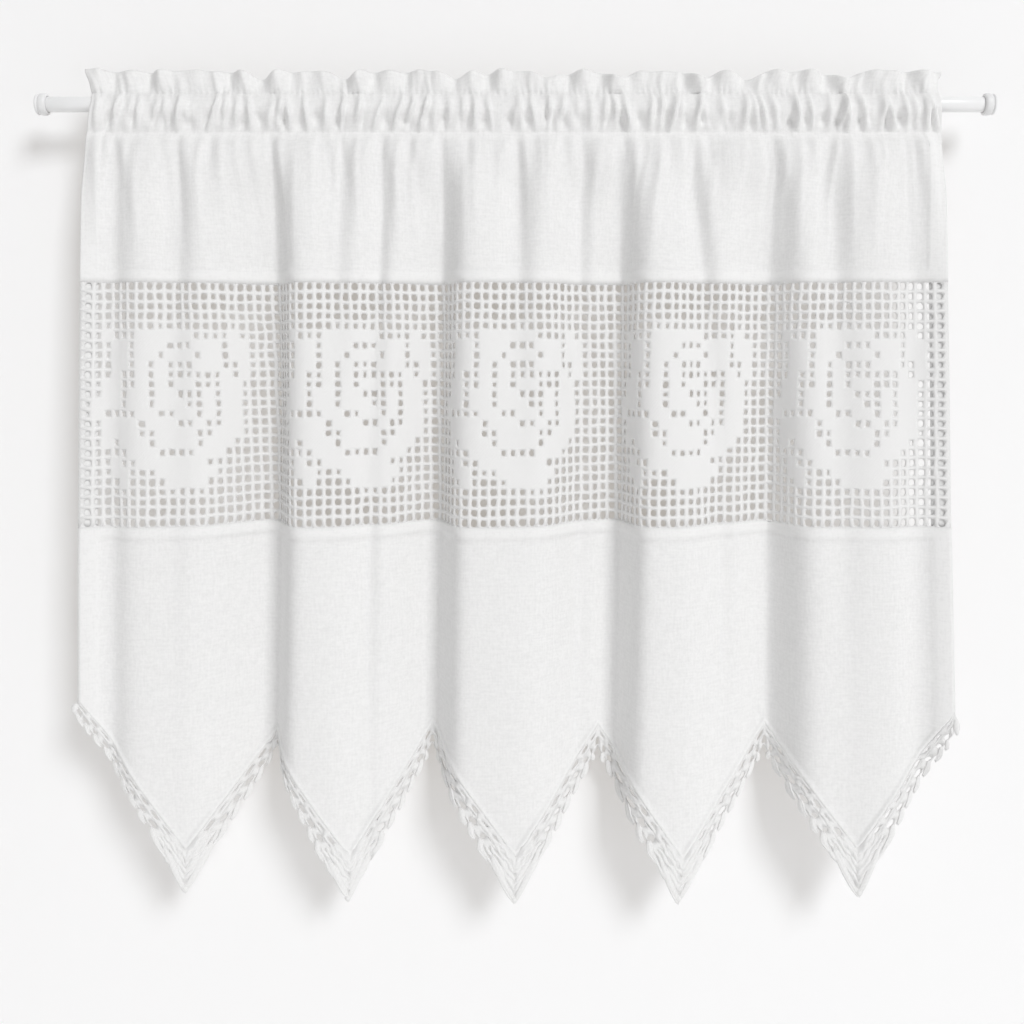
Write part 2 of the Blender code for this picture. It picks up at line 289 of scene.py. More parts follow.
class Gathers:
    """The gathered heading: small puckers along its stitching and the folds that run from them.

    A pair is the least and the most of a random draw. Its spacings, widths, heights and depths are
    in millimetres.
    """

    fold_spacing = (6.5, 14.5)
    fold_width_left = (1.7, 3.2)
    fold_width_right = (1.1, 2.2)
    fold_drift_limit = 5 * MM
    pucker_spacing = (2.9, 5.2)
    pucker_share = (0.5, 1.1)
    pucker_half_width = (0.7, 1.15)
    dimple_spacing = (10.0, 18.0)
    dimple_level = (-11.5, -8.5)
    dimple_half_height = (3.2, 5.2)
    dimple_depth = (2.6, 5.6)
    lean = (-0.35, 0.35)

    # How far the pocket stands out: around the rod, at its folds in millimetres, and at least
    belly = 5.2 * MM
    pinch_under_rod = 0.15
    fold_stand = 4.4
    fold_stand_at_seams = 0.6
    fold_stand_on_frill = 0.9
    least_stand = 0.7 * MM

    # How far the puckers reach up and down from the frill's and the pocket's stitching
    pucker_reach_down = 3.4 * MM
    pucker_reach_up = 4.8 * MM
    pucker_reach_at_pocket = 1.6 * MM

    # How far the ridges stand out below the pocket, and where they fade
    ridge_below = 5.6 * MM
    fold_below = 1.3 * MM
    fade_down = 60 * MM
    fade_above_band = 30 * MM
    fade_at_sides = 12 * MM

    # The frill's ruffles, as wave lengths in millimetres and shares of their reach
    ruffle_reach = 2.7 * MM
    ruffle_waves = ((3.6, 1.0), (2.7, 0.9), (8.3, 0.6), (1.9, 0.25))

    def __init__(self, seed):
        rng = np.random.default_rng(seed)
        self.fold_at = spaced(rng, self.fold_spacing, 90, CLOTH_WIDTH)
        count = len(self.fold_at)
        self.fold_left = rng.uniform(*self.fold_width_left, count) * MM
        self.fold_right = rng.uniform(*self.fold_width_right, count) * MM
        self.fold_height = 0.45 + 0.65 * rng.uniform(0.0, 1.0, count) ** 1.5
        self.fold_drift = rng.uniform(*self.lean, count)
        self.pucker_at = spaced(rng, self.pucker_spacing, 300, CLOTH_WIDTH)
        count = len(self.pucker_at)
        short, long = np.sin(self.pucker_at / (4.1 * MM)), np.sin(self.pucker_at / (9.7 * MM) + 1.3)
        bunch = 0.5 + 0.5 * short * long
        self.pucker_height = rng.uniform(*self.pucker_share, count) * (0.3 + 1.2 * bunch) * MM
        self.pucker_width = rng.uniform(*self.pucker_half_width, count) * MM
        self.pucker_drift = rng.uniform(-0.3, 0.3, count)
        self.wave_phase = rng.uniform(0, 2 * math.pi, len(self.ruffle_waves))
        self.dimple_at = spaced(rng, self.dimple_spacing, 90, CLOTH_WIDTH - 6 * MM)
        count = len(self.dimple_at)
        self.dimple_z = rng.uniform(*self.dimple_level, count) * MM
        self.dimple_tall = rng.uniform(*self.dimple_half_height, count) * MM
        self.dimple_deep = rng.uniform(*self.dimple_depth, count) * MM
        self.dimple_lean = rng.uniform(*self.lean, count)
        self.valley_list = self.main_valleys() + self.small_valleys(rng)

    def main_valleys(self):
        """The valleys that run into the large folds: start, size, length and lean."""
        return [
            (t.x_heading * MM, min(t.deep_heading / 9.0, 1.0), 60 * MM, t.x_heading % 3 - 1)
            for t in TROUGHS
        ]

    def small_valleys(self, rng):
        """Shorter valleys all along the pocket, with the same measures."""
        places = np.arange(-248.0, 250.0, 17.0)
        count = len(places)
        starts = (places + rng.uniform(-6, 6, count)) * MM
        sizes = rng.uniform(0.15, 0.75, count)
        lengths = rng.uniform(14.0, 42.0, count) * MM
        return list(zip(starts, sizes, lengths, rng.uniform(-1.2, 1.2, count)))

    def folds(self, distance, z, spread=1.0):
        """The ridges of the middling folds, from 0 to about 1."""
        drift = self.fold_drift * (z[..., None] - POCKET_STITCHING)
        drift = np.clip(drift, -self.fold_drift_limit, self.fold_drift_limit)
        away = distance[..., None] - self.fold_at - drift
        width = np.where(away < 0, self.fold_left, self.fold_right) * spread
        return (self.fold_height * bell(away, width)).sum(-1)

    def puckers(self, distance, z):
        """The ridges of the small puckers, before their strength at this height."""
        drift = self.pucker_drift * (z[..., None] - FRILL_STITCHING)
        away = distance[..., None] - self.pucker_at - drift
        return (self.pucker_height * bell(away, self.pucker_width)).sum(-1)

    def dimples(self, distance, z):
        """How deep the cloth is drawn in under the rod."""
        rise = z[..., None] - self.dimple_z
        away = distance[..., None] - self.dimple_at - self.dimple_lean * rise
        width = np.where(away < 0, 2.8 * MM, 4.4 * MM)
        hollow = np.exp(-((away / width) ** 2) - (rise / self.dimple_tall) ** 2)
        return (self.dimple_deep * hollow).sum(-1)

    def valleys(self, x, z):
        """How much of a valley there is at x below the pocket, from 0 to 1, fading downwards."""
        drop = np.maximum(POCKET_STITCHING - z, 0.0)
        left, right = 3.6 * MM + 0.11 * drop, 2.6 * MM + 0.06 * drop
        deep = np.zeros(np.broadcast(x, z).shape)
        for at, size, length, lean in self.valley_list:
            away = x - at - lean * 0.16 * drop
            width = np.where(away < 0, left, right)
            deep = deep + size * np.exp(-((away / width) ** 2) - (drop / length) ** 2)
        return deep / (1 + 0.35 * deep)

    def pocket(self, distance, z, x):
        """How far a layer of the pocket or frill stands from the rod's plane."""
        up = (z - POCKET_STITCHING) / (FRILL_STITCHING - POCKET_STITCHING)
        up = np.clip(up, 0.0, 1.0)
        arch = np.sin(math.pi * up)
        frill = np.clip((z - FRILL_STITCHING) / (FRILL_TOP - FRILL_STITCHING), 0.0, 1.0)
        frill_arch = np.sin(math.pi * frill)
        ridge = self.folds(distance, z) * (1 - 0.5 * self.valleys(x, z))
        slow, quick = np.sin(distance / (5.3 * MM)), np.sin(distance / (3.1 * MM) + 1.0)
        onset = 1.6 * slow + 1.3 * quick - 3.4
        under_rod = smooth_step((onset * MM - z) / (5 * MM))
        belly = self.belly * arch ** (0.75 + 0.35 * (1 - up) ** 2)
        belly = belly * (1 - self.pinch_under_rod * under_rod * (1 - np.minimum(ridge, 1.0)))
        stand = ridge * (self.fold_stand * arch**0.8 + self.fold_stand_at_seams) * MM
        reach = np.where(z < FRILL_STITCHING, self.pucker_reach_down, self.pucker_reach_up)
        at_frill = bell(z - FRILL_STITCHING, reach)
        at_pocket = 0.3 * bell(z - POCKET_STITCHING, self.pucker_reach_at_pocket)
        stand = stand + self.puckers(distance, z) * (at_frill + at_pocket)
        stand = stand + ridge * self.fold_stand_on_frill * MM * frill_arch**0.5
        proud = (0.8 + 0.2 * (1 - up)) * MM + belly + stand + 0.4 * MM * frill_arch
        return np.maximum(proud - self.dimples(distance, z), self.least_stand)

    def below(self, distance, z, x):
        """How far the folds stand out under the pocket's stitching, fading above the band."""
        drop = np.maximum(POCKET_STITCHING - z, 0.0)
        from_side = np.minimum(distance, CLOTH_WIDTH - distance)
        strength = smooth_step(drop / (10 * MM)) * bell(drop, self.fade_down)
        strength = strength * smooth_step((z - BAND_TOP) / self.fade_above_band)
        strength = strength * smooth_step(from_side / self.fade_at_sides)
        ridge = self.ridge_below * (1 - self.valleys(x, z))
        ridge = ridge + self.fold_below * self.folds(distance, z, 1.4)
        fine = 0.35 * np.exp(-drop / (3 * MM))
        return ridge * strength + self.puckers(distance, z) * fine

    def ruffle(self, x, z):
        """How far the frill waves to and fro, both layers together."""
        rise = np.clip((z - FRILL_STITCHING) / (FRILL_TOP - FRILL_STITCHING), 0.0, 1.2)
        wave = sum(
            share * np.sin(x / (length * MM) + phase)
            for (length, share), phase in zip(self.ruffle_waves, self.wave_phase)
        )
        return self.ruffle_reach * rise**0.6 * wave


GATHERS = Gathers(seed=11)


def frill_dip(x):
    """How far the frill's top edge dips at x."""
    dips = sum(bell(x / MM - dip, FRILL_DIP_WIDTH) for dip in FRILL_DIPS)
    small = sum(size * np.sin(x / (length * MM) + start) for size, length, start in FRILL_RIPPLES)
    return (FRILL_DIP_DEPTH * np.minimum(dips, 1.0) + small) * MM


def lay_heading(distance, z, side):
    """Points of the top panel: side is -1 in front, 1 behind and 0 on the frill's fold."""
    x = hung_x(distance, z)
    hangs = z < POCKET_STITCHING
    proud = GATHERS.pocket(distance, z, x)
    front = np.where(hangs, cloth_y(x, z) - GATHERS.below(distance, z, x), -proud)
    behind = np.where(hangs, BACK_BELOW_POCKET, proud)
    y = np.where(side < 0, front, np.where(side > 0, behind, 0.0)) + GATHERS.ruffle(x, z)
    rise = np.clip((z - FRILL_STITCHING) / (FRILL_TOP - FRILL_STITCHING), 0.0, 1.0)
    lift = cloth_lift(x, z) - rise * frill_dip(x)
    return np.stack([x, y, z + lift], -1)


def proud_of_heading(distance, z, side, out):
    """Points out proud of the top panel, and its outward normals."""
    step = 0.25 * MM
    across = lay_heading(distance + step, z, side) - lay_heading(distance - step, z, side)
    up = lay_heading(distance, z + step, side) - lay_heading(distance, z - step, side)
    normals = unit(np.cross(across, up)) * -side[..., None]
    return lay_heading(distance, z, side) + normals * out[..., None], normals


def wear(piece, material, slot, *nodes):
    """Gives a piece its material, its body and the nodes that it stands for."""
    piece.data.materials.clear()
    piece.data.materials.append(material)
    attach(piece, BODY)
    if nodes:
        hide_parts(*nodes)
    return piece


def mesh_from(name, shape):
    """A mesh of a bmesh, which is then freed."""
    mesh = bpy.data.meshes.new(name)
    shape.to_mesh(mesh)
    shape.free()
    return mesh


def new_piece(name, mesh):
    """A smooth piece in the scene, with its place in its mesh."""
    mesh.shade_smooth()
    piece = bpy.data.objects.new(name, mesh)
    bpy.context.scene.collection.objects.link(piece)
    return piece


def sheet_piece(name, mesh, layout, places, hem, thickness, thin_share):
    """A piece with thickness from a thin mesh: places on the cut cloth, and where it is hemmed."""
    corners = np.empty(len(mesh.loops), int)
    mesh.loops.foreach_get("vertex_index", corners)
    mesh.uv_layers.new(name=layout).data.foreach_set("uv", places[corners].ravel())
    hems = mesh.attributes.new("hem", "FLOAT", "POINT")
    hems.data.foreach_set("value", hem)
    mesh.update()
    piece = new_piece(name, mesh)
    group = piece.vertex_groups.new(name="hem")
    for weight in np.unique(np.round(hem, 2)):
        members = np.nonzero(np.round(hem, 2) == weight)[0].tolist()
        group.add(members, float(thin_share + (1 - thin_share) * weight), "REPLACE")
    solidify = piece.modifiers.new("Thickness", "SOLIDIFY")
    solidify.thickness = thickness
    solidify.offset = 0.0
    solidify.vertex_group = "hem"
    return piece


def grid_piece(name, columns, rows, place, settings):
    """A cloth piece from a grid. place gives each point, its place on the cut cloth and its hem."""
    grid = bmesh.new()
    bmesh.ops.create_grid(grid, x_segments=columns, y_segments=rows, size=1.0)
    mesh = mesh_from(name, grid)
    spots = np.empty(len(mesh.vertices) * 3)
    mesh.vertices.foreach_get("co", spots)
    spots = spots.reshape(-1, 3)
    column = np.rint((spots[:, 0] + 1) / 2 * columns).astype(int)
    row = np.rint((spots[:, 1] + 1) / 2 * rows).astype(int)
    points, laid_flat, hem = place(column, row)
    mesh.vertices.foreach_set("co", points.ravel())
    thickness, thin_share = settings.hem_thickness, settings.thin_share
    return sheet_piece(name, mesh, "laid_flat", laid_flat, hem, thickness, thin_share)


def in_side_hem(distance):
    """Whether places of the flat cloth are in its turned side hems."""
    return (distance < SIDE_HEM) | (distance > CLOTH_WIDTH - SIDE_HEM)


# A strip of squares to pierce: squeeze narrows it while its even margins are made, so that the
# margins at a hole's sides become wider than those above and below it
Strip = namedtuple("Strip", "columns rows width height squeeze margin opened uneven cuts")

# Shares of the margin that holes are given at random: one of the first three where the squares
# around are open, and of the last three, which make smaller holes, beside closed ones
HOLE_MARGINS = (0.85, 1.0, 1.18, 1.4, 1.6)
HOLE_ROUNDING = 0.25
RIM_CUTS = 2

# How much thinner than a bar a net is along its sewn rows, as a share of the way to a hole's edge
SEWN_THINNING = 0.4
SEWN_DEPTH = 0.05 * MM

# Turns of yarn in each metre across a net, for its texture
YARN_TURNS = 400.0


def grid_of_squares(strip, rng):
    """A flat grid with uneven knots, squeezed for its margins."""
    net = bmesh.new()
    bmesh.ops.create_grid(net, x_segments=strip.columns, y_segments=strip.rows, size=0.5)
    for knot in net.verts:
        column, row = (knot.co.x + 0.5) * strip.columns, (knot.co.y + 0.5) * strip.rows
        inside = 0 < round(column) < strip.columns, 0 < round(row) < strip.rows
        sway = rng.normal(0.0, strip.uneven, 2) * inside
        x, y = (column * strip.width + sway[0]) * strip.squeeze, row * strip.height + sway[1]
        knot.co = (x, y, 0.0)
    return net


def holes_by_margin(net, strip, rng):
    """The squares to open, by the share of the margin that each one is given."""
    by_margin = {share: [] for share in HOLE_MARGINS}
    closed = np.pad(~strip.opened, 1)
    above_and_below = closed[:-2, 1:-1] + 0 + closed[2:, 1:-1]
    closed_beside = above_and_below + closed[1:-1, :-2] + closed[1:-1, 2:]
    for face in net.faces:
        middle = face.calc_center_median()
        column = int(middle.x / (strip.width * strip.squeeze))
        row = strip.rows - 1 - int(middle.y / strip.height)
        if strip.opened[row, column]:
            mostly_open = closed_beside[row, column] < 1 + (strip.rows == 1)
            shares = HOLE_MARGINS[:3] if mostly_open else HOLE_MARGINS[2:]
            by_margin[float(rng.choice(shares))].append(face)
    return by_margin


def pierced(strip, rng):
    """A flat mesh of squares with a rounded hole in each opened one, and its points' thinning."""
    net = grid_of_squares(strip, rng)
    by_margin = holes_by_margin(net, strip, rng)
    knots = len(net.verts)
    for share, faces in by_margin.items():
        margin = strip.margin * share
        bmesh.ops.inset_individual(net, faces=faces, thickness=margin, use_even_offset=True)
    net.verts.index_update()
    holes = [face for faces in by_margin.values() for face in faces]
    middles = {corner.index: face.calc_center_median() for face in holes for corner in face.verts}
    rims = {edge for face in holes for edge in face.edges}
    bmesh.ops.delete(net, geom=holes, context="FACES_ONLY")
    bmesh.ops.subdivide_edges(net, edges=list(rims), cuts=RIM_CUTS)
    net.verts.ensure_lookup_table()
    at_hole = len(net.verts)
    for corner, middle in middles.items():
        net.verts[corner].co = net.verts[corner].co.lerp(middle, HOLE_ROUNDING)
    if strip.cuts:
        net.verts.index_update()
        bars = [edge for edge in net.edges if max(end.index for end in edge.verts) < knots]
        bmesh.ops.subdivide_edges(net, edges=bars, cuts=strip.cuts)
    number = np.arange(len(net.verts))
    heights = np.array([vertex.co.y for vertex in net.verts])
    sewn = (heights < SEWN_DEPTH) | (heights > strip.rows * strip.height - SEWN_DEPTH)
    thin = np.where(sewn, SEWN_THINNING, 0.0)
    thin[(number >= knots) & (number < at_hole)] = 1.0
    return net, thin


def net_piece(name, strips, lays, rng, thickness, thin_share):
    """A crochet net from strips: each one's lay gives its points from flat places in metres."""
    joined = bmesh.new()
    spots, hem, points = [], [], []
    for strip, lay in zip(strips, lays):
        net, thin = pierced(strip, rng)
        flat = np.array([vertex.co[:2] for vertex in net.verts]) / (strip.squeeze, 1.0)
        part = mesh_from("strip", net)
        joined.from_mesh(part)
        bpy.data.meshes.remove(part)
        spots.append(flat)
        hem.append(1.0 - thin)
        points.append(lay(flat[:, 0], flat[:, 1]))
    mesh = mesh_from(name, joined)
    mesh.vertices.foreach_set("co", np.concatenate(points).ravel())
    places, hem = np.concatenate(spots) * (YARN_TURNS, 1.0), np.concatenate(hem)
    return sheet_piece(name, mesh, "along_yarn", places, hem, thickness, thin_share)


Pattern = namedtuple("Pattern", "ring turn corners totals around along")


def yarn_pattern(sides, lengths):
    """One yarn tube: its points by ring and turn, its faces, and their places on the yarn."""
    tube = bmesh.new()
    bmesh.ops.create_cone(
        tube, cap_ends=True, cap_tris=False, segments=sides, radius1=1.0, radius2=1.0, depth=lengths
    )
    if lengths > 1:
        lengthwise = [e for e in tube.edges if abs(e.verts[0].co.z - e.verts[1].co.z) > 0.5]
        bmesh.ops.subdivide_edges(tube, edges=lengthwise, cuts=lengths - 1, use_grid_fill=True)
    tube.verts.index_update()
    ring = np.array([round(v.co.z + lengths / 2) for v in tube.verts])
    angles = np.array([math.atan2(v.co.x, v.co.y) for v in tube.verts])
    turn = np.rint(angles / (2 * math.pi) * sides).astype(int) % sides
    corners, totals, around, along = [], [], [], []
    for face in tube.faces:
        indices = [v.index for v in face.verts]
        turns = turn[indices]
        wraps = len(indices) == 4 and turns.min() == 0 and turns.max() == sides - 1
        corners += indices
        totals.append(len(indices))
        around += [(t + sides if wraps and t == 0 else t) / sides for t in turns]
        along += [ring[i] / lengths for i in indices]
    tube.free()
    return Pattern(ring, turn, *map(np.array, (corners, totals, around, along)))


Yarns = namedtuple("Yarns", "centres normals width depth")


def yarn_piece(name, batches, sides):
    """One mesh of many yarn tubes. A batch has a row for each tube, all with as many rings."""
    points, corners, totals, places, offset = [], [], [], [], 0
    for yarns in batches:
        count, rings = yarns.centres.shape[:2]
        pattern = yarn_pattern(sides, rings - 1)
        ahead = unit(np.gradient(yarns.centres, axis=1))
        sideways = unit(np.cross(ahead, yarns.normals))
        outwards = np.cross(ahead, sideways)
        angle = pattern.turn * 2 * math.pi / sides
        ring = pattern.ring
        wide = sideways[:, ring] * (np.sin(angle) * yarns.width[:, ring])[..., None]
        deep = outwards[:, ring] * (np.cos(angle) * yarns.depth[:, ring])[..., None]
        points.append((yarns.centres[:, ring] + wide + deep).reshape(-1, 3))
        each = offset + np.arange(count) * len(ring)
        corners.append((pattern.corners[None, :] + each[:, None]).ravel())
        totals.append(np.tile(pattern.totals, count))
        run = np.linalg.norm(np.diff(yarns.centres, axis=1), axis=-1).sum(1)
        place = np.empty((count, len(pattern.corners), 2))
        place[..., 0] = pattern.around
        place[..., 1] = pattern.along * run[:, None]
        places.append(place.reshape(-1, 2))
        offset += count * len(ring)
    points, corners = np.concatenate(points), np.concatenate(corners)
    totals, places = np.concatenate(totals), np.concatenate(places)
    mesh = bpy.data.meshes.new(name)
    mesh.vertices.add(len(points))
    mesh.vertices.foreach_set("co", points.ravel())
    mesh.loops.add(len(corners))
    mesh.loops.foreach_set("vertex_index", corners)
    mesh.polygons.add(len(totals))
    mesh.polygons.foreach_set("loop_start", np.concatenate([[0], np.cumsum(totals)[:-1]]))
    mesh.update(calc_edges=True)
    mesh.uv_layers.new(name="along_yarn").data.foreach_set("uv", places.ravel())
    return new_piece(name, mesh)


def new_group(name, inputs, outputs):
    """A shader node group with named inputs and outputs, and its two end nodes."""
    group = bpy.data.node_groups.new(name, "ShaderNodeTree")
    for label, kind, default in inputs:
        socket = group.interface.new_socket(label, in_out="INPUT", socket_type="NodeSocket" + kind)
        if default is not None:
            socket.default_value = default
    for label, kind in outputs:
        group.interface.new_socket(label, in_out="OUTPUT", socket_type="NodeSocket" + kind)
    return group, group.nodes.new("NodeGroupInput"), group.nodes.new("NodeGroupOutput")


def maths(tree, operation, *values):
    """A maths node on values that are numbers or other nodes' outputs, as its output."""
    node = tree.nodes.new("ShaderNodeMath")
    node.operation = operation
    for socket, value in zip(node.inputs, values):
        if isinstance(value, bpy.types.NodeSocket):
            tree.links.new(value, socket)
        else:
            socket.default_value = value
    return node.outputs[0]


def stretched(tree, vector, scale):
    """A vector stretched by a scale along each axis, as its output."""
    node = tree.nodes.new("ShaderNodeVectorMath")
    node.operation = "MULTIPLY"
    tree.links.new(vector, node.inputs[0])
    node.inputs[1].default_value = scale
    return node.outputs[0]


def noise(tree, vector, scale, detail=2.0):
    """Soft noise on a vector, as its output."""
    node = tree.nodes.new("ShaderNodeTexNoise")
    node.inputs["Scale"].default_value = scale
    node.inputs["Detail"].default_value = detail
    tree.links.new(vector, node.inputs["Vector"])
    return node.outputs["Fac"]


def pillows(tree, turns):
    """Rounded threads side by side, one for each turn, as their height."""
    return maths(tree, "ABSOLUTE", maths(tree, "SINE", maths(tree, "MULTIPLY", turns, math.pi)))


def weave_group():
    """A plain weave with slubs, from a place on the cut cloth in metres."""
    wander_scale, wander_turns = 260.0, 0.9
    slub_along, slub_across, slub_detail = (110.0, 760.0, 1.0), (760.0, 110.0, 1.0), 3.0
    group, entry, end = new_group(
        "Plain weave",
        [
            ("Place", "Vector", None),
            ("Threads per metre", "Float", 1600.0),
            ("Slubs", "Float", 2.4),
        ],
        [("Height", "Float"), ("Shade", "Float")],
    )
    place = entry.outputs["Place"]
    split = group.nodes.new("ShaderNodeSeparateXYZ")
    group.links.new(place, split.inputs[0])
    wander = maths(group, "MULTIPLY", noise(group, place, wander_scale), wander_turns)
    threads = []
    for axis in ("X", "Y"):
        turns = maths(group, "MULTIPLY", split.outputs[axis], entry.outputs["Threads per metre"])
        threads.append(pillows(group, maths(group, "ADD", turns, wander)))
    along = noise(group, stretched(group, place, slub_along), 1.0, slub_detail)
    across = noise(group, stretched(group, place, slub_across), 1.0, slub_detail)
    slub = maths(group, "SUBTRACT", maths(group, "ADD", along, across), 1.0)
    slub = maths(group, "ADD", maths(group, "MULTIPLY", slub, entry.outputs["Slubs"]), 0.5)
    height = maths(group, "ADD", maths(group, "MULTIPLY", *threads), slub)
    group.links.new(height, end.inputs["Height"])
    group.links.new(slub, end.inputs["Shade"])
    return group


def twist_group():
    """Twisted yarn, from a place on the yarn: turns around it, and metres along it."""
    group, entry, end = new_group(
        "Twisted yarn",
        [("Place", "Vector", None), ("Plies", "Float", 3.0), ("Turns per metre", "Float", 420.0)],
        [("Height", "Float")],
    )
    split = group.nodes.new("ShaderNodeSeparateXYZ")
    group.links.new(entry.outputs["Place"], split.inputs[0])
    around = maths(group, "MULTIPLY", split.outputs["X"], entry.outputs["Plies"])
    along = maths(group, "MULTIPLY", split.outputs["Y"], entry.outputs["Turns per metre"])
    plies = pillows(group, maths(group, "ADD", around, along))
    group.links.new(plies, end.inputs["Height"])
    return group


def grain_group():
    """Fine uneven grain and broad soft clouds, from Object coordinates."""
    group, entry, end = new_group(
        "Soft grain",
        [("Place", "Vector", None), ("Fine scale", "Float", 900.0), ("Broad scale", "Float", 14.0)],
        [("Fine", "Float"), ("Broad", "Float")],
    )
    for label, detail in (("Fine", 3.0), ("Broad", 2.0)):
        node = group.nodes.new("ShaderNodeTexNoise")
        node.inputs["Detail"].default_value = detail
        group.links.new(entry.outputs["Place"], node.inputs["Vector"])
        group.links.new(entry.outputs[label + " scale"], node.inputs["Scale"])
        group.links.new(node.outputs["Fac"], end.inputs[label])
    return group


def kept_group(name, make):
    """The node group of that name, which is made when it is first used."""
    return bpy.data.node_groups.get(name) or make()


def group_node(tree, group, **values):
    """A group placed in a material, with its own values."""
    node = tree.nodes.new("ShaderNodeGroup")
    node.node_tree = group
    for label, value in values.items():
        node.inputs[label.replace("_", " ")].default_value = value
    return node


def soft_grain(tree, **scales):
    """The soft grain on Object coordinates, as its node."""
    coordinates = tree.nodes.new("ShaderNodeTexCoord")
    grain = group_node(tree, kept_group("Soft grain", grain_group), **scales)
    tree.links.new(coordinates.outputs["Object"], grain.inputs["Place"])
    return grain


def on_layout(tree, layout, node):
    """Lets a group's node take its place from a layout of the piece."""
    place = tree.nodes.new("ShaderNodeUVMap")
    place.uv_map = layout
    tree.links.new(place.outputs["UV"], node.inputs["Place"])
    return node


def mixed_colour(tree, share, low, high):
    """A colour that goes from low to high as share goes from 0 to 1, as its output."""
    node = tree.nodes.new("ShaderNodeMix")
    node.data_type = "RGBA"
    tree.links.new(share, node.inputs["Factor"])
    node.inputs["A"].default_value = (*low, 1.0)
    node.inputs["B"].default_value = (*high, 1.0)
    return node.outputs["Result"]


def bump(tree, height, strength, distance, under=None):
    """Relief from a height, over what lies under it, as its normal."""
    node = tree.nodes.new("ShaderNodeBump")
    node.inputs["Strength"].default_value = strength
    node.inputs["Distance"].default_value = distance
    tree.links.new(height, node.inputs["Height"])
    if under is not None:
        tree.links.new(under, node.inputs["Normal"])
    return node.outputs["Normal"]


def started_material(name, **values):
    """A new material, with its shader's own sockets set to values, and its tree and shader."""
    material = bpy.data.materials.new(name)
    material.use_nodes = True
    tree = material.node_tree
    shader = tree.nodes["Principled BSDF"]
    for label, value in values.items():
        shader.inputs[label.replace("_", " ")].default_value = value
    return material, tree, shader


def darker(colour, share):
    """A colour at a share of its brightness."""
    return tuple(channel * share for channel in colour)


def linen_material(settings):
    """White plain-woven cloth: threads and slubs follow the cut cloth, and hems are denser."""
    material, tree, shader = started_material(
        "white_linen",
        Roughness=0.9,
        Sheen_Weight=0.12,
        Sheen_Roughness=0.5,
        Specular_IOR_Level=0.25,
    )
    weave = kept_group("Plain weave", weave_group)
    weave = group_node(tree, weave, Threads_per_metre=settings.threads_per_metre)
    on_layout(tree, "laid_flat", weave)
    grain = soft_grain(tree, Fine_scale=600.0)
    hem = tree.nodes.new("ShaderNodeAttribute")
    hem.attribute_name = "hem"
    shade = maths(tree, "MULTIPLY", weave.outputs["Shade"], 0.55)
    shade = maths(tree, "ADD", shade, maths(tree, "MULTIPLY", grain.outputs["Fine"], 1.6))
    shade = maths(tree, "SUBTRACT", shade, 0.8)
    shade = maths(tree, "ADD", shade, maths(tree, "MULTIPLY", grain.outputs["Broad"], 0.25))
    shade = maths(tree, "ADD", shade, maths(tree, "MULTIPLY", hem.outputs["Fac"], 0.5))
    low, high = darker(settings.cloth_colour, 0.92), settings.cloth_colour
    tree.links.new(mixed_colour(tree, shade, low, high), shader.inputs["Base Color"])
    fuzz = bump(tree, grain.outputs["Fine"], 0.16, 0.3 * MM)
    threads = bump(tree, weave.outputs["Height"], 0.2, 0.2 * MM, fuzz)
    tree.links.new(threads, shader.inputs["Normal"])
    return material


def crochet_material(settings):
    """White crochet cotton: twisted plies along each yarn under a little fuzz."""
    material, tree, shader = started_material(
        "white_cotton",
        Roughness=0.85,
        Sheen_Weight=0.15,
        Sheen_Roughness=0.5,
        Specular_IOR_Level=0.3,
    )
    twist = kept_group("Twisted yarn", twist_group)
    twist = group_node(tree, twist, Turns_per_metre=settings.turns_per_metre)
    on_layout(tree, "along_yarn", twist)
    grain = soft_grain(tree, Fine_scale=1500.0)
    shade = maths(tree, "MULTIPLY", twist.outputs["Height"], 0.6)
    shade = maths(tree, "ADD", shade, maths(tree, "MULTIPLY", grain.outputs["Fine"], 0.5))
    low, high = darker(settings.yarn_colour, 0.95), settings.yarn_colour
    tree.links.new(mixed_colour(tree, shade, low, high), shader.inputs["Base Color"])
    fuzz = bump(tree, grain.outputs["Fine"], 0.2, 0.2 * MM)
    plies = bump(tree, twist.outputs["Height"], 0.3, 0.2 * MM, fuzz)
    tree.links.new(plies, shader.inputs["Normal"])
    return material


def smooth_material(name, colour, roughness, fine_bump):
    """Paint or moulded plastic: nearly smooth, with faint unevenness in shine and surface."""
    shine_range = 0.1
    material, tree, shader = started_material(name, Specular_IOR_Level=0.5)
    grain = soft_grain(tree, Fine_scale=420.0, Broad_scale=35.0)
    tint = mixed_colour(tree, grain.outputs["Broad"], darker(colour, 0.97), colour)
    tree.links.new(tint, shader.inputs["Base Color"])
    uneven = maths(tree, "MULTIPLY", grain.outputs["Broad"], shine_range)
    shine = maths(tree, "ADD", uneven, roughness - shine_range / 2)
    tree.links.new(shine, shader.inputs["Roughness"])
    surface = bump(tree, grain.outputs["Fine"], fine_bump, 0.1 * MM)
    tree.links.new(surface, shader.inputs["Normal"])
    return material


def kept_material(name, make, settings):
    """The material of that name, which is made when it is first used."""
    return bpy.data.materials.get(name) or make(settings)


def linen(settings):
    """The cloth's material, from the cloth's settings."""
    return kept_material("white_linen", linen_material, settings)


def cotton(settings):
    """The yarn's and the thread's material, from the crochet's settings."""
    return kept_material("white_cotton", crochet_material, settings)


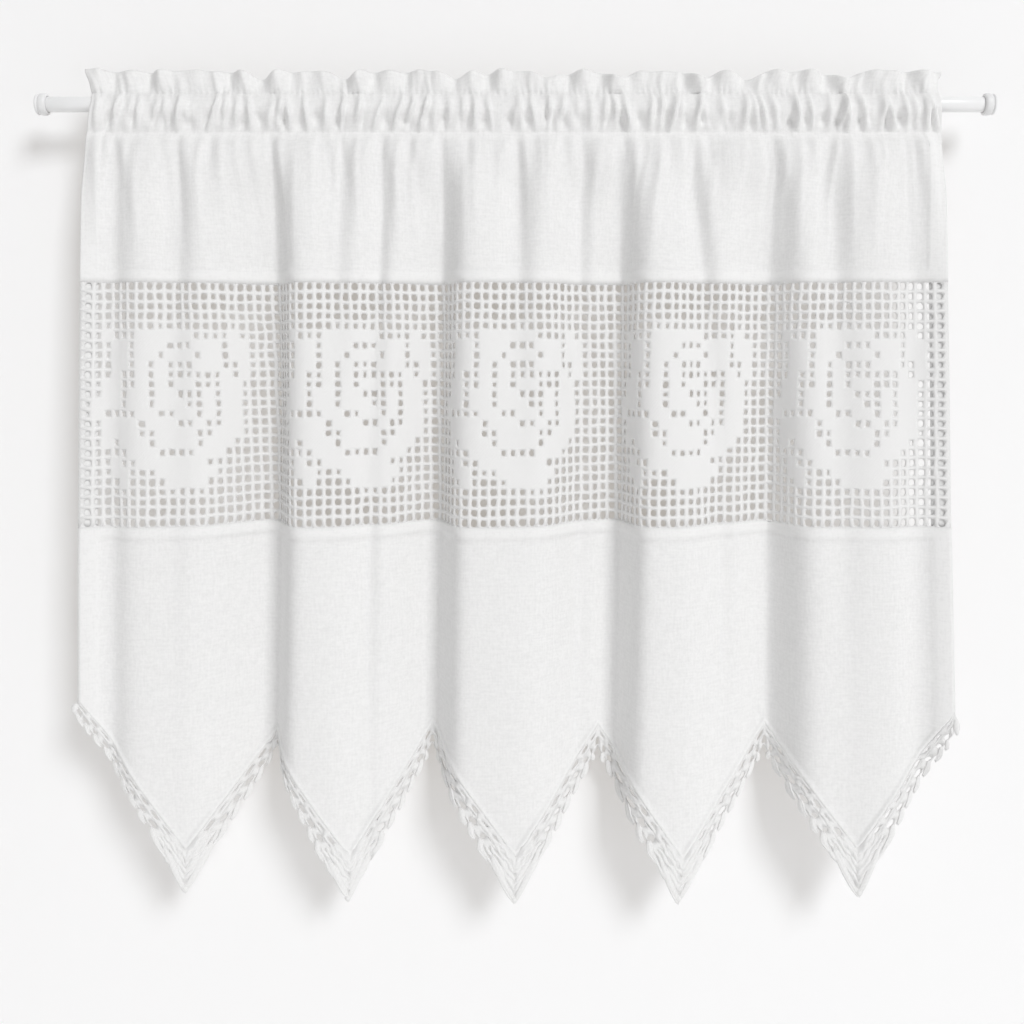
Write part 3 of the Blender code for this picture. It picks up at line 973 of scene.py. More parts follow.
class ClothSettings(bpy.types.PropertyGroup):
    """Measures and colour of the woven cloth"""

    cloth_colour: FloatVectorProperty(
        name="Cloth colour",
        description="Colour of the woven cloth at its brightest",
        subtype="COLOR",
        size=3,
        min=0.0,
        max=1.0,
        default=(0.885, 0.8835, 0.88),
    )
    hem_thickness: FloatProperty(
        name="Hem thickness",
        description="Thickness of the cloth where it is turned over",
        default=1.5 * MM,
        unit="LENGTH",
    )
    thin_share: FloatProperty(
        name="Single layer",
        description="Thickness of a single layer, as a share of a hem's",
        default=0.34,
        subtype="FACTOR",
        min=0.1,
        max=1.0,
    )
    threads_per_metre: FloatProperty(
        name="Threads per metre",
        description="How many threads of the weave lie side by side in a metre",
        default=1600.0,
    )
    stitch_length: FloatProperty(
        name="Stitch length",
        description="Distance from one sewing stitch to the next",
        default=3.1 * MM,
        unit="LENGTH",
    )


class CrochetSettings(bpy.types.PropertyGroup):
    """Measures and colour of the crochet"""

    yarn_colour: FloatVectorProperty(
        name="Yarn colour",
        description="Colour of the crochet cotton at its brightest",
        subtype="COLOR",
        size=3,
        min=0.0,
        max=1.0,
        default=(0.868, 0.866, 0.862),
    )
    bar_width: FloatProperty(
        name="Bar width",
        description="Width of an upright bar of the crochet mesh",
        default=2.5 * MM,
        unit="LENGTH",
    )
    level_share: FloatProperty(
        name="Level bars",
        description="Width of a level bar, as a share of an upright one's",
        default=0.8,
        subtype="FACTOR",
        min=0.3,
        max=1.0,
    )
    net_thickness: FloatProperty(
        name="Net thickness",
        description="Front to back thickness of the crochet at its bars",
        default=1.3 * MM,
        unit="LENGTH",
    )
    thin_share: FloatProperty(
        name="Hole edge",
        description="Thickness of the crochet at the edge of a hole, as a share of its bars'",
        default=0.55,
        subtype="FACTOR",
        min=0.1,
        max=1.0,
    )
    turns_per_metre: FloatProperty(
        name="Turns per metre",
        description="How tightly the yarn is twisted",
        default=420.0,
    )
    looseness: FloatProperty(
        name="Looseness",
        description="How unevenly the stitches lie",
        default=1.0,
        min=0.0,
        max=2.0,
        subtype="FACTOR",
    )
    seed: IntProperty(name="Seed", description="Start of the stitches' unevenness", default=5)


class RodSettings(bpy.types.PropertyGroup):
    """Looks of the rod and its caps"""

    rod_colour: FloatVectorProperty(
        name="Rod colour",
        description="Colour of the rod's paint",
        subtype="COLOR",
        size=3,
        min=0.0,
        max=1.0,
        default=(0.92, 0.922, 0.926),
    )
    cap_colour: FloatVectorProperty(
        name="Cap colour",
        description="Colour of the end caps",
        subtype="COLOR",
        size=3,
        min=0.0,
        max=1.0,
        default=(0.85, 0.852, 0.856),
    )
    round_steps: IntProperty(
        name="Round steps", description="Steps around the rod and its caps", default=64, min=16
    )


class StageSettings(bpy.types.PropertyGroup):
    """The plain backdrop and its light"""

    wall_colour: FloatVectorProperty(
        name="Wall colour",
        description="Colour of the plain backdrop and floor",
        subtype="COLOR",
        size=3,
        min=0.0,
        max=1.0,
        default=(0.772, 0.79, 0.816),
    )
    wall_glow: FloatVectorProperty(
        name="Wall glow",
        description="Soft warm light from the backdrop itself, which keeps its shadows pale",
        subtype="COLOR",
        size=3,
        min=0.0,
        max=1.0,
        default=(0.195, 0.176, 0.153),
    )
    wall_distance: FloatProperty(
        name="Wall distance",
        description="Distance from the rod's axis back to the backdrop",
        default=29.0 * MM,
        unit="LENGTH",
    )
    key_power: FloatProperty(
        name="Key light", description="Power of the large soft light", default=510.0, unit="POWER"
    )
    fill_strength: FloatProperty(
        name="Fill light", description="Strength of the even light from all around", default=0.4
    )


class CURTAIN_OT_rod(bpy.types.Operator):
    """Make the painted rod and its two turned end caps"""

    bl_idname = "curtain.rod"
    bl_label = "Rod and caps"

    # A cap's set-back, its length before that, its socket's depth and the play around the rod
    cap_gap = 1.2 * MM
    cap_length = 8 * MM
    socket_depth = 5.5 * MM
    socket_play = 0.15 * MM

    # A cap's outline in millimetres, as length from its mouth and radius: a rounded band, a groove
    # and a slightly smaller disc with a flat end
    cap_outline = (
        ((0.0, 5.2), (0.12, 5.75), (0.45, 6.15), (1.1, 6.45), (2.0, 6.58), (3.2, 6.6))
        + ((4.2, 6.52), (4.9, 6.3), (5.35, 5.95), (5.6, 5.62), (5.85, 5.55), (6.05, 5.7))
        + ((6.25, 6.0), (6.6, 6.2), (7.1, 6.2), (7.5, 6.0), (7.8, 5.6), (7.95, 5.1), (8.0, 4.6))
        + ((8.0, 2.4), (8.0, 0.0))
    )

    def execute(self, context):
        settings = context.scene.curtain_rod
        paint = smooth_material("rod_paint", settings.rod_colour, 0.36, 0.06)
        plastic = smooth_material("cap_plastic", settings.cap_colour, 0.42, 0.05)
        self.make_rod(settings, paint)
        for side, node in ((-1, "end_cap_left"), (1, "end_cap_right")):
            self.make_cap(settings, plastic, side, node)
        return {"FINISHED"}

    def turned(self, name, profile, steps):
        """A piece turned about X from its profile of (along, radius), closed on the axis."""
        lathe = bmesh.new()
        points = [lathe.verts.new((along, 0.0, radius)) for along, radius in profile]
        edges = [lathe.edges.new(pair) for pair in zip(points, points[1:])]
        bmesh.ops.spin(
            lathe,
            geom=points + edges,
            cent=(0, 0, 0),
            axis=(1, 0, 0),
            angle=2 * math.pi,
            steps=steps,
            use_merge=True,
        )
        bmesh.ops.remove_doubles(lathe, verts=lathe.verts[:], dist=0.01 * MM)
        bmesh.ops.recalc_face_normals(lathe, faces=lathe.faces[:])
        piece = new_piece(name, mesh_from(name, lathe))
        piece.data.set_sharp_from_angle(angle=math.radians(50))
        return piece

    def make_rod(self, settings, paint):
        """A round rod with rounded ends."""
        low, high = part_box("rod")
        radius, half = (high.z - low.z) / 2, (high.x - low.x) / 2
        wall, lip, bare_end = 0.6 * MM, 0.25 * MM, 30 * MM
        profile = (
            (-half, 0.0),
            (-half, radius - wall),
            (-half, radius - lip),
            (-half + lip, radius),
            (-half + bare_end, radius),
            (0.0, radius),
            (half - bare_end, radius),
            (half - lip, radius),
            (half, radius - lip),
            (half, radius - wall),
            (half, 0.0),
        )
        rod = self.turned("rod_tube", profile, settings.round_steps)
        wear(rod, paint, "rod_paint", "rod")

    def make_cap(self, settings, plastic, side, node):
        """A cap with its outline, and a socket that takes the rod's end."""
        low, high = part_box(node)
        inner = (high.x if side < 0 else low.x) + side * self.cap_gap
        rod_low, rod_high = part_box("rod")
        socket = (rod_high.z - rod_low.z) / 2 + self.socket_play
        bottom = inner + side * self.socket_depth
        shorter = 1 - self.cap_gap / self.cap_length
        profile = [(bottom, 0.0), (bottom, socket), (inner, socket)]
        profile += [
            (inner + side * along * shorter * MM, radius * MM) for along, radius in self.cap_outline
        ]
        cap = self.turned(node.replace("end_cap", "cap"), profile, settings.round_steps)
        wear(cap, plastic, "cap_plastic", node)


class CURTAIN_OT_top_panel(bpy.types.Operator):
    """Make the gathered top panel with its rod pocket and frill"""

    bl_idname = "curtain.top_panel"
    bl_label = "Top panel"

    columns = 540

    def execute(self, context):
        settings = context.scene.curtain_cloth
        heights, sides = self.levels()
        rows = len(heights) - 1
        distances = np.linspace(0.0, CLOTH_WIDTH, self.columns + 1)
        middle = lay_heading(np.full(rows + 1, CLOTH_WIDTH / 2), heights, sides)
        steps = np.linalg.norm(np.diff(middle, axis=0), axis=1)
        run = np.concatenate([[0.0], np.cumsum(steps)])

        def place(column, row):
            distance, z = distances[column], heights[row]
            points = lay_heading(distance, z, sides[row])
            laid_flat = np.stack([distance, run[row]], -1)
            turned = (z < BAND_TOP + SEAM_HEM + 0.1 * MM) | in_side_hem(distance)
            return points, laid_flat, turned.astype(float)

        cloth = grid_piece("top_panel_cloth", self.columns, rows, place, settings)
        wear(cloth, linen(settings), "linen_cloth", "top_panel")
        return {"FINISHED"}

    def levels(self):
        """The grid's heights, from the band up the front, over the frill and down behind it."""
        seam_top = BAND_TOP + SEAM_HEM
        seam = [BAND_TOP, BAND_TOP + 0.5 * SEAM_HEM, seam_top, seam_top + 0.6 * MM]
        hanging = np.linspace(-95.0, -24.0, 13) * MM
        near_pocket = [-20.5 * MM, -18.3 * MM, -17.2 * MM]
        pocket = np.linspace(POCKET_STITCHING, FRILL_STITCHING, 17)[:-1]
        frill = np.linspace(FRILL_STITCHING, FRILL_TOP - 0.9 * MM, 10)
        front = np.concatenate([seam, hanging, near_pocket, pocket, frill])
        behind = np.concatenate([[-20.0 * MM, -18.5 * MM], pocket[::2], frill[::2]])[::-1]
        heights = np.concatenate([front, [FRILL_TOP - 0.3 * MM], behind])
        sides = np.concatenate([-np.ones(len(front)), [0.0], np.ones(len(behind))])
        return heights, sides


def hem_line(steps):
    """Points along the pointed hem, as x and z, with as many steps to each of its sides."""
    corners = np.array(HEM_CORNERS)[:, :2] * MM
    share = np.arange(steps)[:, None] / steps
    runs = [a + (b - a) * share for a, b in zip(corners, corners[1:])]
    return np.concatenate(runs + [corners[-1:]])


class CURTAIN_OT_lower_panel(bpy.types.Operator):
    """Make the lower panel, cut in points along its hem"""

    bl_idname = "curtain.lower_panel"
    bl_label = "Lower panel"

    # Steps to each side of a point, rows up to the seam, and rows of the rolled hem by height
    steps = 30
    lower_rows = 50
    rolled_hem = (0.0, 1.6 * MM, 3.2 * MM, 3.8 * MM)

    def execute(self, context):
        settings = context.scene.curtain_cloth
        line = hem_line(self.steps)
        starts = np.array([np.interp(x, *cloth_line(z)) for x, z in line])
        ends = line[:, 1]
        seam = BAND_BOTTOM - SEAM_HEM
        rolled, upper = np.array(self.rolled_hem), np.linspace(0.0, 1.0, 4)
        last_rolled, last_lower = len(rolled) - 1, self.lower_rows

        def place(column, row):
            distance, end = starts[column], ends[column]
            above_hem = end + rolled[-1]
            share = np.clip((row - last_rolled) / (last_lower - last_rolled), 0.0, 1.0)
            below = above_hem + (seam - 0.5 * MM - above_hem) * share
            hem = end + rolled[np.minimum(row, last_rolled)]
            below = np.where(row <= last_rolled, hem, below)
            in_seam = np.clip(row - last_lower - 1, 0, len(upper) - 1)
            above = seam + (BAND_BOTTOM - seam) * upper[in_seam]
            z = np.where(row > last_lower, above, below)
            points, _ = lay_on_cloth(distance, z, np.zeros(len(z)))
            turned = (row > last_lower) | (row < last_rolled) | in_side_hem(distance)
            return points, np.stack([distance, z], -1), turned.astype(float)

        rows = last_lower + len(upper)
        cloth = grid_piece("lower_panel_cloth", len(starts) - 1, rows, place, settings)
        wear(cloth, linen(settings), "linen_cloth", "lower_panel")
        return {"FINISHED"}


class CURTAIN_OT_lace_band(bpy.types.Operator):
    """Work the filet crochet band: its mesh, its roses and the hems behind its sides"""

    bl_idname = "curtain.lace_band"
    bl_label = "Lace band"

    # The plain border at the mesh's sides, and how far its sewn rows go under the seams
    border = 2.6 * MM
    border_bend = 501
    side_overhang = 0.2 * MM
    tuck = 0.8 * MM
    tuck_bend = 15

    # How unevenly the knots lie, and how far behind the mesh its hems are
    uneven = 0.26 * MM
    hem_behind = 0.95 * MM

    def execute(self, context):
        settings = context.scene.curtain_crochet
        rng = np.random.default_rng(settings.seed)
        chart = self.whole_chart()
        rows, columns = chart.shape
        band_height = BAND_TOP - BAND_BOTTOM
        mesh_width = CLOTH_WIDTH - 2 * self.border
        width = mesh_width / columns
        squeeze = settings.level_share
        strip = Strip(
            columns=columns,
            rows=rows,
            width=width,
            height=band_height / rows,
            squeeze=squeeze,
            margin=squeeze * settings.bar_width / 2,
            opened=~chart,
            uneven=settings.looseness * self.uneven,
            cuts=0,
        )

        def lay(across, up):
            tuck = self.tuck * (2 * up / band_height - 1) ** self.tuck_bend
            outermost = (2 * across / (columns * width) - 1) ** self.border_bend
            distance = self.border + across + (self.border - self.side_overhang) * outermost
            return lay_on_cloth(distance, BAND_BOTTOM + up + tuck, np.zeros(len(across)))[0]

        thickness, thin_share = settings.net_thickness, settings.thin_share
        net = net_piece("lace_net", [strip], [lay], rng, thickness, thin_share)
        wear(net, cotton(settings), "crochet_cotton", "lace_band")
        hems = [
            self.side_hem(context, "lace_hem_left", 0.0),
            self.side_hem(context, "lace_hem_right", CLOTH_WIDTH - SIDE_HEM),
        ]
        return {"FINISHED"}

    def whole_chart(self):
        """The whole band's filled squares: one rose after another."""
        rose = np.array([[mark == "#" for mark in row] for row in ROSE_CHART])
        chart = np.zeros((len(rose), BAND_COLUMNS + rose.shape[1]), bool)
        for start in ROSE_STARTS:
            chart[:, start : start + rose.shape[1]] |= rose
        return chart[:, :BAND_COLUMNS]

    def side_hem(self, context, name, start):
        """The narrow hem cloth behind the outer columns of the mesh."""
        columns, rows = 8, 40
        settings = context.scene.curtain_cloth

        def place(column, row):
            distance = start + column / columns * SIDE_HEM
            z = BAND_BOTTOM + row / rows * (BAND_TOP - BAND_BOTTOM)
            points, _ = lay_on_cloth(distance, z, np.full(len(z), -self.hem_behind))
            return points, np.stack([distance, z], -1), np.zeros(len(z))

        strip = grid_piece(name, columns, rows, place, settings)
        wear(strip, linen(settings), "linen_cloth")
        return strip


class CURTAIN_OT_edging(bpy.types.Operator):
    """Work the crochet edging along the points: slits, holes, petals, tip rows and knots"""

    bl_idname = "curtain.edging"
    bl_label = "Edging"

    # Length of a cell along the cloth's edge, and how far each side of a point bows in
    cell = 10.8 * MM
    bows = np.array((0.22, 0.02, -0.06, 0.0, 0.0, 0.0, 0.0, 0.02, 0.0, 0.14))

    # The rows of slits and holes: their reach from the cloth to the outer edge, how much they are
    # squeezed for their margins, and their margins
    slit_reach, slit_squeeze, slit_margin = (-0.02, 0.37), 0.46, 1.3 * MM
    hole_reach, hole_squeeze, hole_margin = (0.34, 0.76), 0.26, 0.78 * MM
    row_height = 3.6 * MM
    bar_cuts = 3
    net_thickness = 1.7 * MM
    net_thin_share = 0.4

    # Where stitches turn from square to the cloth's edge, as shares of a side from tip and notch
    turn_at_tip, turn_at_notch = 0.16, 0.26

    # The rows of stitches around a tip, by their reach
    tip_reaches = (0.16, 0.34, 0.52, 0.7, 0.9)

    # Width at which yarns have their plain size, and the limits of that size
    plain_width = 9.5 * MM
    least_size, most_size = 0.85, 1.25

    def execute(self, context):
        settings = context.scene.curtain_crochet
        rng = np.random.default_rng(settings.seed + 1)
        self.corners = np.array(HEM_CORNERS) * MM
        self.corners[0, 2:] = FIRST_KNOT
        runs = np.diff(self.corners[:, :2], axis=0)
        self.lengths = np.linalg.norm(runs, axis=1)
        self.ahead = runs / self.lengths[:, None]
        self.cells = np.maximum(np.rint(self.lengths / self.cell), 1).astype(int)
        self.starts = np.concatenate([[0], np.cumsum(self.cells)])
        self.tips = self.starts[1:-1:2]
        edging = self.net(rng)
        wear(edging, cotton(settings), "crochet_cotton", "edging")
        fringe = [batch for side in range(len(self.cells)) for batch in self.petals(side, rng)]
        fringe += [self.knots(), self.tip_rows(rng)]
        petals = yarn_piece("edging_petals", fringe, 8)
        wear(petals, cotton(settings), "crochet_cotton")
        length, width = self.measured(1.0)
        float(np.prod(self.measured(self.hole_reach[1])))
        return {"FINISHED"}

    def measured(self, reach):
        """Length and mean width of the edging as a plain strip up to a reach, along its folds."""
        places, reaches = np.linspace(0.0, self.starts[-1], 600), np.linspace(0.0, reach, 6)
        points = self.lay(*np.meshgrid(places, reaches), 0.0)[0]
        along, across = np.diff(points, axis=1)[:-1], np.diff(points, axis=0)[:, :-1]
        area = float(np.linalg.norm(np.cross(along, across), axis=-1).sum())
        length = float(np.linalg.norm(np.diff(points[0], axis=0), axis=-1).sum())
        return length, area / length

    def lay(self, place, reach, out):
        """Points of the edging, their normals and its width there.

        place counts cells from the left end, and reach goes from the cloth to the outer edge.
        Stitches run square to the cloth's edge, and turn towards the tips and notches near them.
        """
        place, reach, out = np.broadcast_arrays(place, reach, out)
        side = np.searchsorted(self.starts, place, side="right") - 1
        side = np.clip(side, 0, len(self.cells) - 1)
        share = (place - self.starts[side]) / self.cells[side]
        first, last, ahead = self.corners[side], self.corners[side + 1], self.ahead[side]
        from_tip = np.where(side % 2 == 0, 1 - share, share)
        square = smooth_step(from_tip / self.turn_at_tip)
        square = square * smooth_step((1 - from_tip) / self.turn_at_notch)
        line = first + (last - first) * share[..., None]
        span = line[..., 2:] - line[..., :2]
        share = share - reach * square * (span * ahead).sum(-1) / self.lengths[side]
        line = first + (last - first) * share[..., None]
        bowed = 1 - 4 * self.bows[side] * share * (1 - share)
        span = (line[..., 2:] - line[..., :2]) * bowed[..., None]
        spot = line[..., :2] + span * reach[..., None]
        points, normals = lay_in_folds(spot[..., 0], spot[..., 1], out)
        width = np.abs(ahead[..., 0] * span[..., 1] - ahead[..., 1] * span[..., 0])
        return points, normals, width

    def yarns(self, place, reach, out, width, depth):
        """Yarns along places of the edging, thicker where it is wider."""
        centres, normals, local = self.lay(place, reach, out)
        size = np.clip(local / self.plain_width, self.least_size, self.most_size)
        return Yarns(centres, normals, width * size, depth * size)

    def net(self, rng):
        """The row of slits beside the cloth, and beyond it the row of holes, half a cell on."""
        count = int(self.starts[-1])
        slits, holes = np.ones((1, count), bool), np.ones((1, count), bool)
        slits[0, self.tips - 1] = slits[0, self.tips] = holes[0, self.tips - 1] = False
        plain = Strip(
            columns=count,
            rows=1,
            width=self.cell,
            height=self.row_height,
            squeeze=self.slit_squeeze,
            margin=self.slit_margin,
            opened=slits,
            uneven=0.0,
            cuts=self.bar_cuts,
        )
        pointed = plain._replace(squeeze=self.hole_squeeze, margin=self.hole_margin, opened=holes)

        def lay_row(shift, reaches):
            """How a row is laid: its shift in cells, and its reach from its inner to its outer side."""

            def lay(across, up):
                place = np.clip(across / self.cell + shift, 0.0, count)
                from_tip = np.abs(place[:, None] - self.tips).min(1)
                low, high = reaches
                high = high + (0.94 - high) * (1 - smooth_step(from_tip / 1.4)) * (shift > 0)
                sway = rng.normal(0.0, 0.02, len(place))
                reach = low + (high - low) * up / self.row_height + sway
                return self.lay(place, reach, 0.12 * MM)[0]

            return lay

        lays = [lay_row(0.0, self.slit_reach), lay_row(0.5, self.hole_reach)]
        strips = [plain, pointed]
        return net_piece(
            "edging_net", strips, lays, rng, self.net_thickness, self.net_thin_share
        )

    def petals(self, side, rng):
        """A thick leaf of stitches over each cell, its tip hanging down and out, and its rims."""
        falls = side % 2 == 0
        cells, start = self.cells[side], self.starts[side]
        numbers = np.arange(cells)
        if side:
            numbers = numbers[1:] if falls else numbers[:-1]
        count = len(numbers)
        climb = np.linspace(0.0, 1.0, 9)[None, :]
        first = numbers[:, None] + rng.normal(0, 0.05, (count, 1))
        along = 0.02 + 1.02 * climb
        path = start + np.clip(first + (along if falls else 1 - along), 0.02, cells - 0.02)
        height = 1.0 + rng.normal(0, 0.1, (count, 1))
        reach = 0.70 + 0.22 * height * np.sin(math.pi * 0.62 * climb) ** 1.2
        plump = np.sin(math.pi * (0.07 + 0.86 * climb**0.8)) ** 0.6 + 0 * path
        lumps = 1.0 + 0.12 * np.sin(climb * 15 + rng.uniform(0, 6, (count, 1)))
        outer = path + 0.05 * (1 if falls else -1), reach + 0.11 * plump
        inner = path, reach - 0.10 * plump
        return [
            self.yarns(path, reach, 0.5 * MM, 1.5 * MM * plump * lumps, 1.0 * MM * plump),
            self.yarns(*outer, 0.8 * MM, 0.62 * MM * lumps * plump, 0.6 * MM * plump),
            self.yarns(*inner, 0.9 * MM, 0.5 * MM * plump, 0.5 * MM * plump),
        ]

    def tip_rows(self, rng):
        """Rows of stitches around each tip, side by side along its edges."""
        climb = np.linspace(-1.0, 1.0, 25)[None, :]
        reach = np.tile(self.tip_reaches, len(self.tips))[:, None]
        tips = np.repeat(self.tips, len(self.tip_reaches))[:, None]
        place = tips + climb * (1.25 + 0.3 * reach)
        lumps = 1.0 + 0.3 * np.sin(climb * 21 + rng.uniform(0, 6, reach.shape))
        wave = reach + 0.03 * np.sin(climb * 15 + rng.uniform(0, 6, reach.shape))
        taper = (1 - climb**6) ** 0.5 * lumps
        return self.yarns(place, wave, 0.3 * MM, 0.95 * MM * taper, 0.8 * MM * taper)

    def knots(self):
        """A small round knot at the tip of each point and at both ends of the edging."""
        climb = np.linspace(0.0, 1.0, 7)
        x, z = [], []
        for corner in self.corners[1::2]:
            x.append(corner[2] + 0 * climb)
            z.append(corner[3] + (5.4 - 5.0 * climb) * MM)
        for corner in self.corners[[0, -1]]:
            x.append(corner[0] + (corner[2] - corner[0]) * (0.2 + 0.8 * climb))
            z.append(corner[1] + (corner[3] - corner[1]) * (0.2 + 0.8 * climb))
        x, z = np.array(x), np.array(z)
        centres, normals = lay_in_folds(x, z, np.full(x.shape, 0.3 * MM))
        plump = np.sin(math.pi * (0.1 + 0.8 * climb)) + 0 * x
        return Yarns(centres, normals, 2.1 * MM * plump, 1.4 * MM * plump)


class CURTAIN_OT_sewing(bpy.types.Operator):
    """Sew the stitch lines of the pocket, the frill, the seams and the side hems"""

    bl_idname = "curtain.sewing"
    bl_label = "Sewing"

    # Where lines across the cloth begin and end, from its side edges, and the thread's size
    inset = 4 * MM
    thread_radius = 0.15 * MM

    def execute(self, context):
        self.length = context.scene.curtain_cloth.stitch_length
        lines = [(z, side) for z in (FRILL_STITCHING, POCKET_STITCHING) for side in (-1, 1)]
        lines.append((BAND_TOP + SEAM_HEM - 0.9 * MM, -1))
        hems = (SIDE_HEM - 0.8 * MM, CLOTH_WIDTH - SIDE_HEM + 0.8 * MM)
        batches = [self.heading_line(z, side) for z, side in lines]
        batches.append(self.lower_line(BAND_BOTTOM - SEAM_HEM + 0.9 * MM))
        batches += [self.heading_hem(distance) for distance in hems]
        batches += [self.lower_hem(distance) for distance in hems]
        thread = yarn_piece("sewing_stitches", batches, 5)
        wear(thread, cotton(context.scene.curtain_crochet), "crochet_cotton")
        return {"FINISHED"}

    def stitches(self, start, end):
        """Places along each stitch of a line, and how far each one stands proud."""
        count = int((end - start) / self.length)
        climb = np.linspace(0.0, 1.0, 5)[None, :]
        along = start + (np.arange(count)[:, None] + 0.1 + 0.78 * climb) * self.length
        proud = 0.05 * MM + 0.16 * MM * np.sin(math.pi * climb) + 0 * along
        return along, proud

    def thread(self, points, normals):
        """Stitches through points, thinner at their ends."""
        size = np.full(points.shape[:2], self.thread_radius)
        size[:, [0, -1]] *= 0.6
        return Yarns(points, normals, size, size)

    def heading_line(self, z, side):
        """A line across one side of the top panel."""
        along, proud = self.stitches(self.inset, CLOTH_WIDTH - self.inset)
        heights, sides = np.full(along.shape, z), np.full(along.shape, float(side))
        return self.thread(*proud_of_heading(along, heights, sides, proud + 0.1 * MM))

    def lower_line(self, z):
        """A line across the lower panel."""
        along, proud = self.stitches(self.inset, CLOTH_WIDTH - self.inset)
        return self.thread(*lay_on_cloth(along, np.full(along.shape, z), proud + 0.35 * MM))

    def heading_hem(self, distance):
        """A line down a side hem of the top panel."""
        along, proud = self.stitches(BAND_TOP + 9 * MM, POCKET_HEM_END)
        distances, sides = np.full(along.shape, distance), np.full(along.shape, -1.0)
        return self.thread(*proud_of_heading(distances, along, sides, proud + 0.3 * MM))

    def lower_hem(self, distance):
        """A line down a side hem of the lower panel."""
        along, proud = self.stitches(-366 * MM, BAND_BOTTOM - 9 * MM)
        return self.thread(*lay_on_cloth(np.full(along.shape, distance), along, proud + 0.3 * MM))


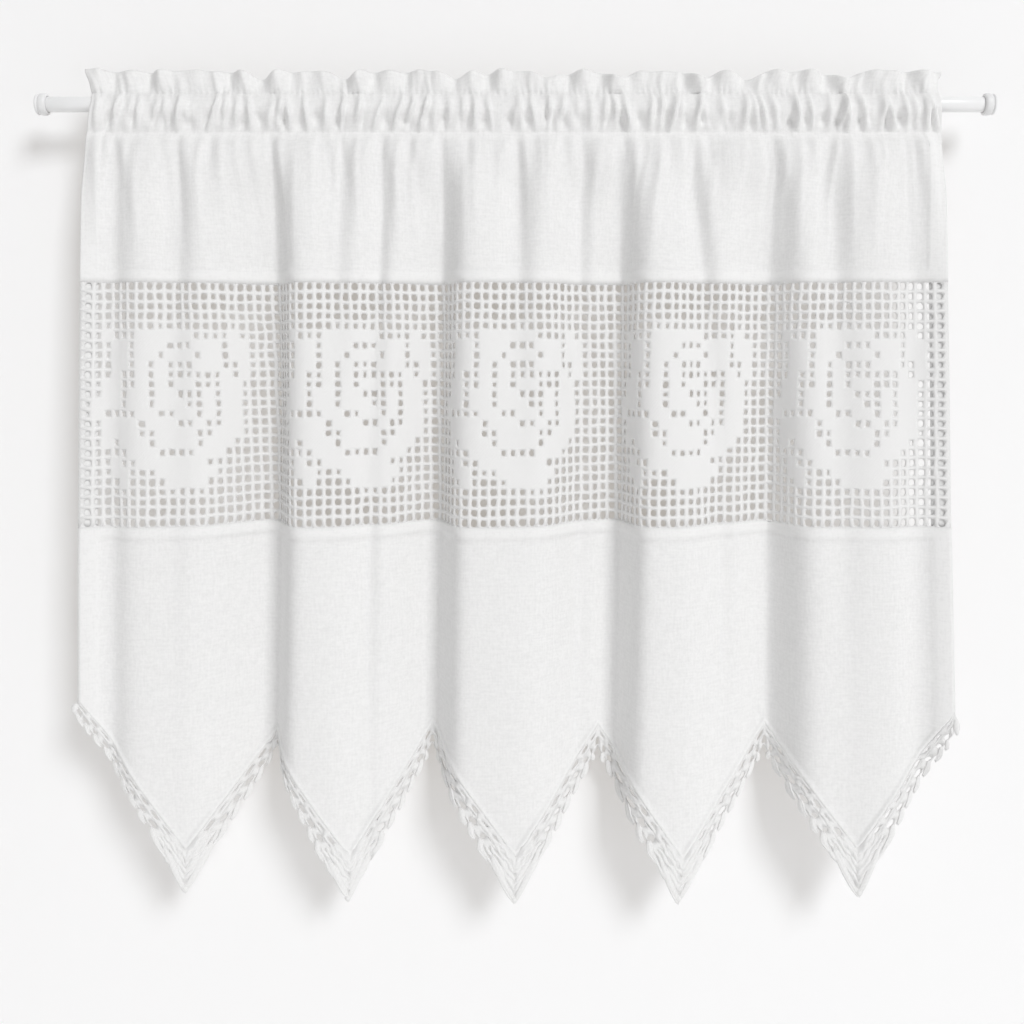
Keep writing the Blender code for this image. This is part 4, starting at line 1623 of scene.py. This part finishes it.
class CURTAIN_OT_stage(bpy.types.Operator):
    """Set the plain backdrop and floor, the soft lights and the camera"""

    bl_idname = "curtain.stage"
    bl_label = "Stage"

    # The camera's place, the width it sees at the rod, and the height in the middle of its view
    camera_place = (-0.0021, -0.72, -0.19)
    sensor_width = 36.0
    view_width = 0.6144
    view_middle = -0.2445

    # The backdrop and floor, as squares of half a side, and the soft light above the camera
    floor_height = -0.66
    backdrop_middle = 0.4
    half_side = 2.2
    light_place = (4.3, -7.5, 4.9)
    light_aim = (0.0, 0.0, -0.22)
    light_side = 3.2

    def execute(self, context):
        settings = context.scene.curtain_stage
        surface = self.wall_material(settings)
        far = settings.wall_distance
        self.plane("backdrop", (0.0, far, self.backdrop_middle), math.pi / 2, surface)
        self.plane("stage_floor", (0.0, far - self.half_side, self.floor_height), 0.0, surface)
        self.add_camera(context)
        self.add_key(context, settings)
        world = bpy.data.worlds.new("even_fill")
        world.use_nodes = True
        background = world.node_tree.nodes["Background"]
        background.inputs["Color"].default_value = (1.0, 1.0, 1.0, 1.0)
        background.inputs["Strength"].default_value = settings.fill_strength
        context.scene.world = world
        context.scene.view_settings.view_transform = "Standard"
        return {"FINISHED"}

    def wall_material(self, settings):
        """Pale matt paint that shows from its front only, so views from behind pass through it."""
        material, tree, shader = started_material(
            "plain_wall", Roughness=0.95, Specular_IOR_Level=0.1
        )
        grain = soft_grain(tree, Broad_scale=3.0)
        low, high = darker(settings.wall_colour, 0.99), settings.wall_colour
        tint = mixed_colour(tree, grain.outputs["Broad"], low, high)
        tree.links.new(tint, shader.inputs["Base Color"])
        # Painted light: the backdrop glows a faint warm light of its own, which keeps the shadows on
        # it, and the shaded wall seen through the crochet's holes, pale and warm
        shader.inputs["Emission Color"].default_value = (*settings.wall_glow, 1.0)
        shader.inputs["Emission Strength"].default_value = 1.0
        clear = tree.nodes.new("ShaderNodeBsdfTransparent")
        geometry = tree.nodes.new("ShaderNodeNewGeometry")
        mix = tree.nodes.new("ShaderNodeMixShader")
        tree.links.new(geometry.outputs["Backfacing"], mix.inputs["Fac"])
        tree.links.new(shader.outputs["BSDF"], mix.inputs[1])
        tree.links.new(clear.outputs["BSDF"], mix.inputs[2])
        tree.links.new(mix.outputs["Shader"], tree.nodes["Material Output"].inputs["Surface"])
        return material

    def plane(self, name, place, tilt, material):
        """A square of the stage, tilted about X."""
        square = bmesh.new()
        bmesh.ops.create_grid(square, x_segments=2, y_segments=2, size=self.half_side)
        matrix = Matrix.Translation(place) @ Matrix.Rotation(tilt, 4, "X")
        bmesh.ops.transform(square, matrix=matrix, verts=square.verts[:])
        mesh = mesh_from(name, square)
        mesh.materials.append(material)
        plane = bpy.data.objects.new(name, mesh)
        bpy.context.scene.collection.objects.link(plane)

    def add_camera(self, context):
        """A camera at the photograph's viewing angle."""
        camera = bpy.data.cameras.new("photo_view")
        camera.sensor_width = self.sensor_width
        camera.lens = camera.sensor_width * -self.camera_place[1] / self.view_width
        camera.shift_y = (self.view_middle - self.camera_place[2]) / self.view_width
        holder = bpy.data.objects.new("photo_view", camera)
        holder.location = self.camera_place
        holder.rotation_euler = (math.pi / 2, 0.0, 0.0)
        context.scene.collection.objects.link(holder)
        context.scene.camera = holder

    def add_key(self, context, settings):
        """One large soft light, up in front and to the right."""
        light = bpy.data.lights.new("soft_key", "AREA")
        light.shape = "SQUARE"
        light.size = self.light_side
        light.energy = settings.key_power
        holder = bpy.data.objects.new("soft_key", light)
        holder.location = self.light_place
        aim = Vector(self.light_aim) - holder.location
        holder.rotation_euler = aim.to_track_quat("-Z", "Y").to_euler()
        context.scene.collection.objects.link(holder)


SETTINGS = {
    "curtain_cloth": ClothSettings,
    "curtain_crochet": CrochetSettings,
    "curtain_rod": RodSettings,
    "curtain_stage": StageSettings,
}
STEPS = (
    CURTAIN_OT_stage,
    CURTAIN_OT_rod,
    CURTAIN_OT_top_panel,
    CURTAIN_OT_lace_band,
    CURTAIN_OT_lower_panel,
    CURTAIN_OT_edging,
    CURTAIN_OT_sewing,
)


class CURTAIN_PT_panel(bpy.types.Panel):
    """The curtain's pieces, to make one by one"""

    bl_idname = "CURTAIN_PT_panel"
    bl_label = "Crochet Lace Curtain"
    bl_space_type = "VIEW_3D"
    bl_region_type = "UI"
    bl_category = "Curtain"

    def draw(self, context):
        for step in STEPS:
            self.layout.operator(step.bl_idname)
        for name, group in SETTINGS.items():
            box = self.layout.box()
            for label in group.__annotations__:
                box.prop(getattr(context.scene, name), label)


def register():
    for group in SETTINGS.values():
        bpy.utils.register_class(group)
    for name, group in SETTINGS.items():
        setattr(bpy.types.Scene, name, PointerProperty(type=group))
    for step in STEPS:
        bpy.utils.register_class(step)
    bpy.utils.register_class(CURTAIN_PT_panel)


def unregister():
    bpy.utils.unregister_class(CURTAIN_PT_panel)
    for step in reversed(STEPS):
        bpy.utils.unregister_class(step)
    for name in SETTINGS:
        delattr(bpy.types.Scene, name)
    for group in SETTINGS.values():
        bpy.utils.unregister_class(group)


def main():
    register()
    for step in STEPS:
        family, name = step.bl_idname.split(".")
        getattr(getattr(bpy.ops, family), name)()


if __name__ == "__main__":
    main()
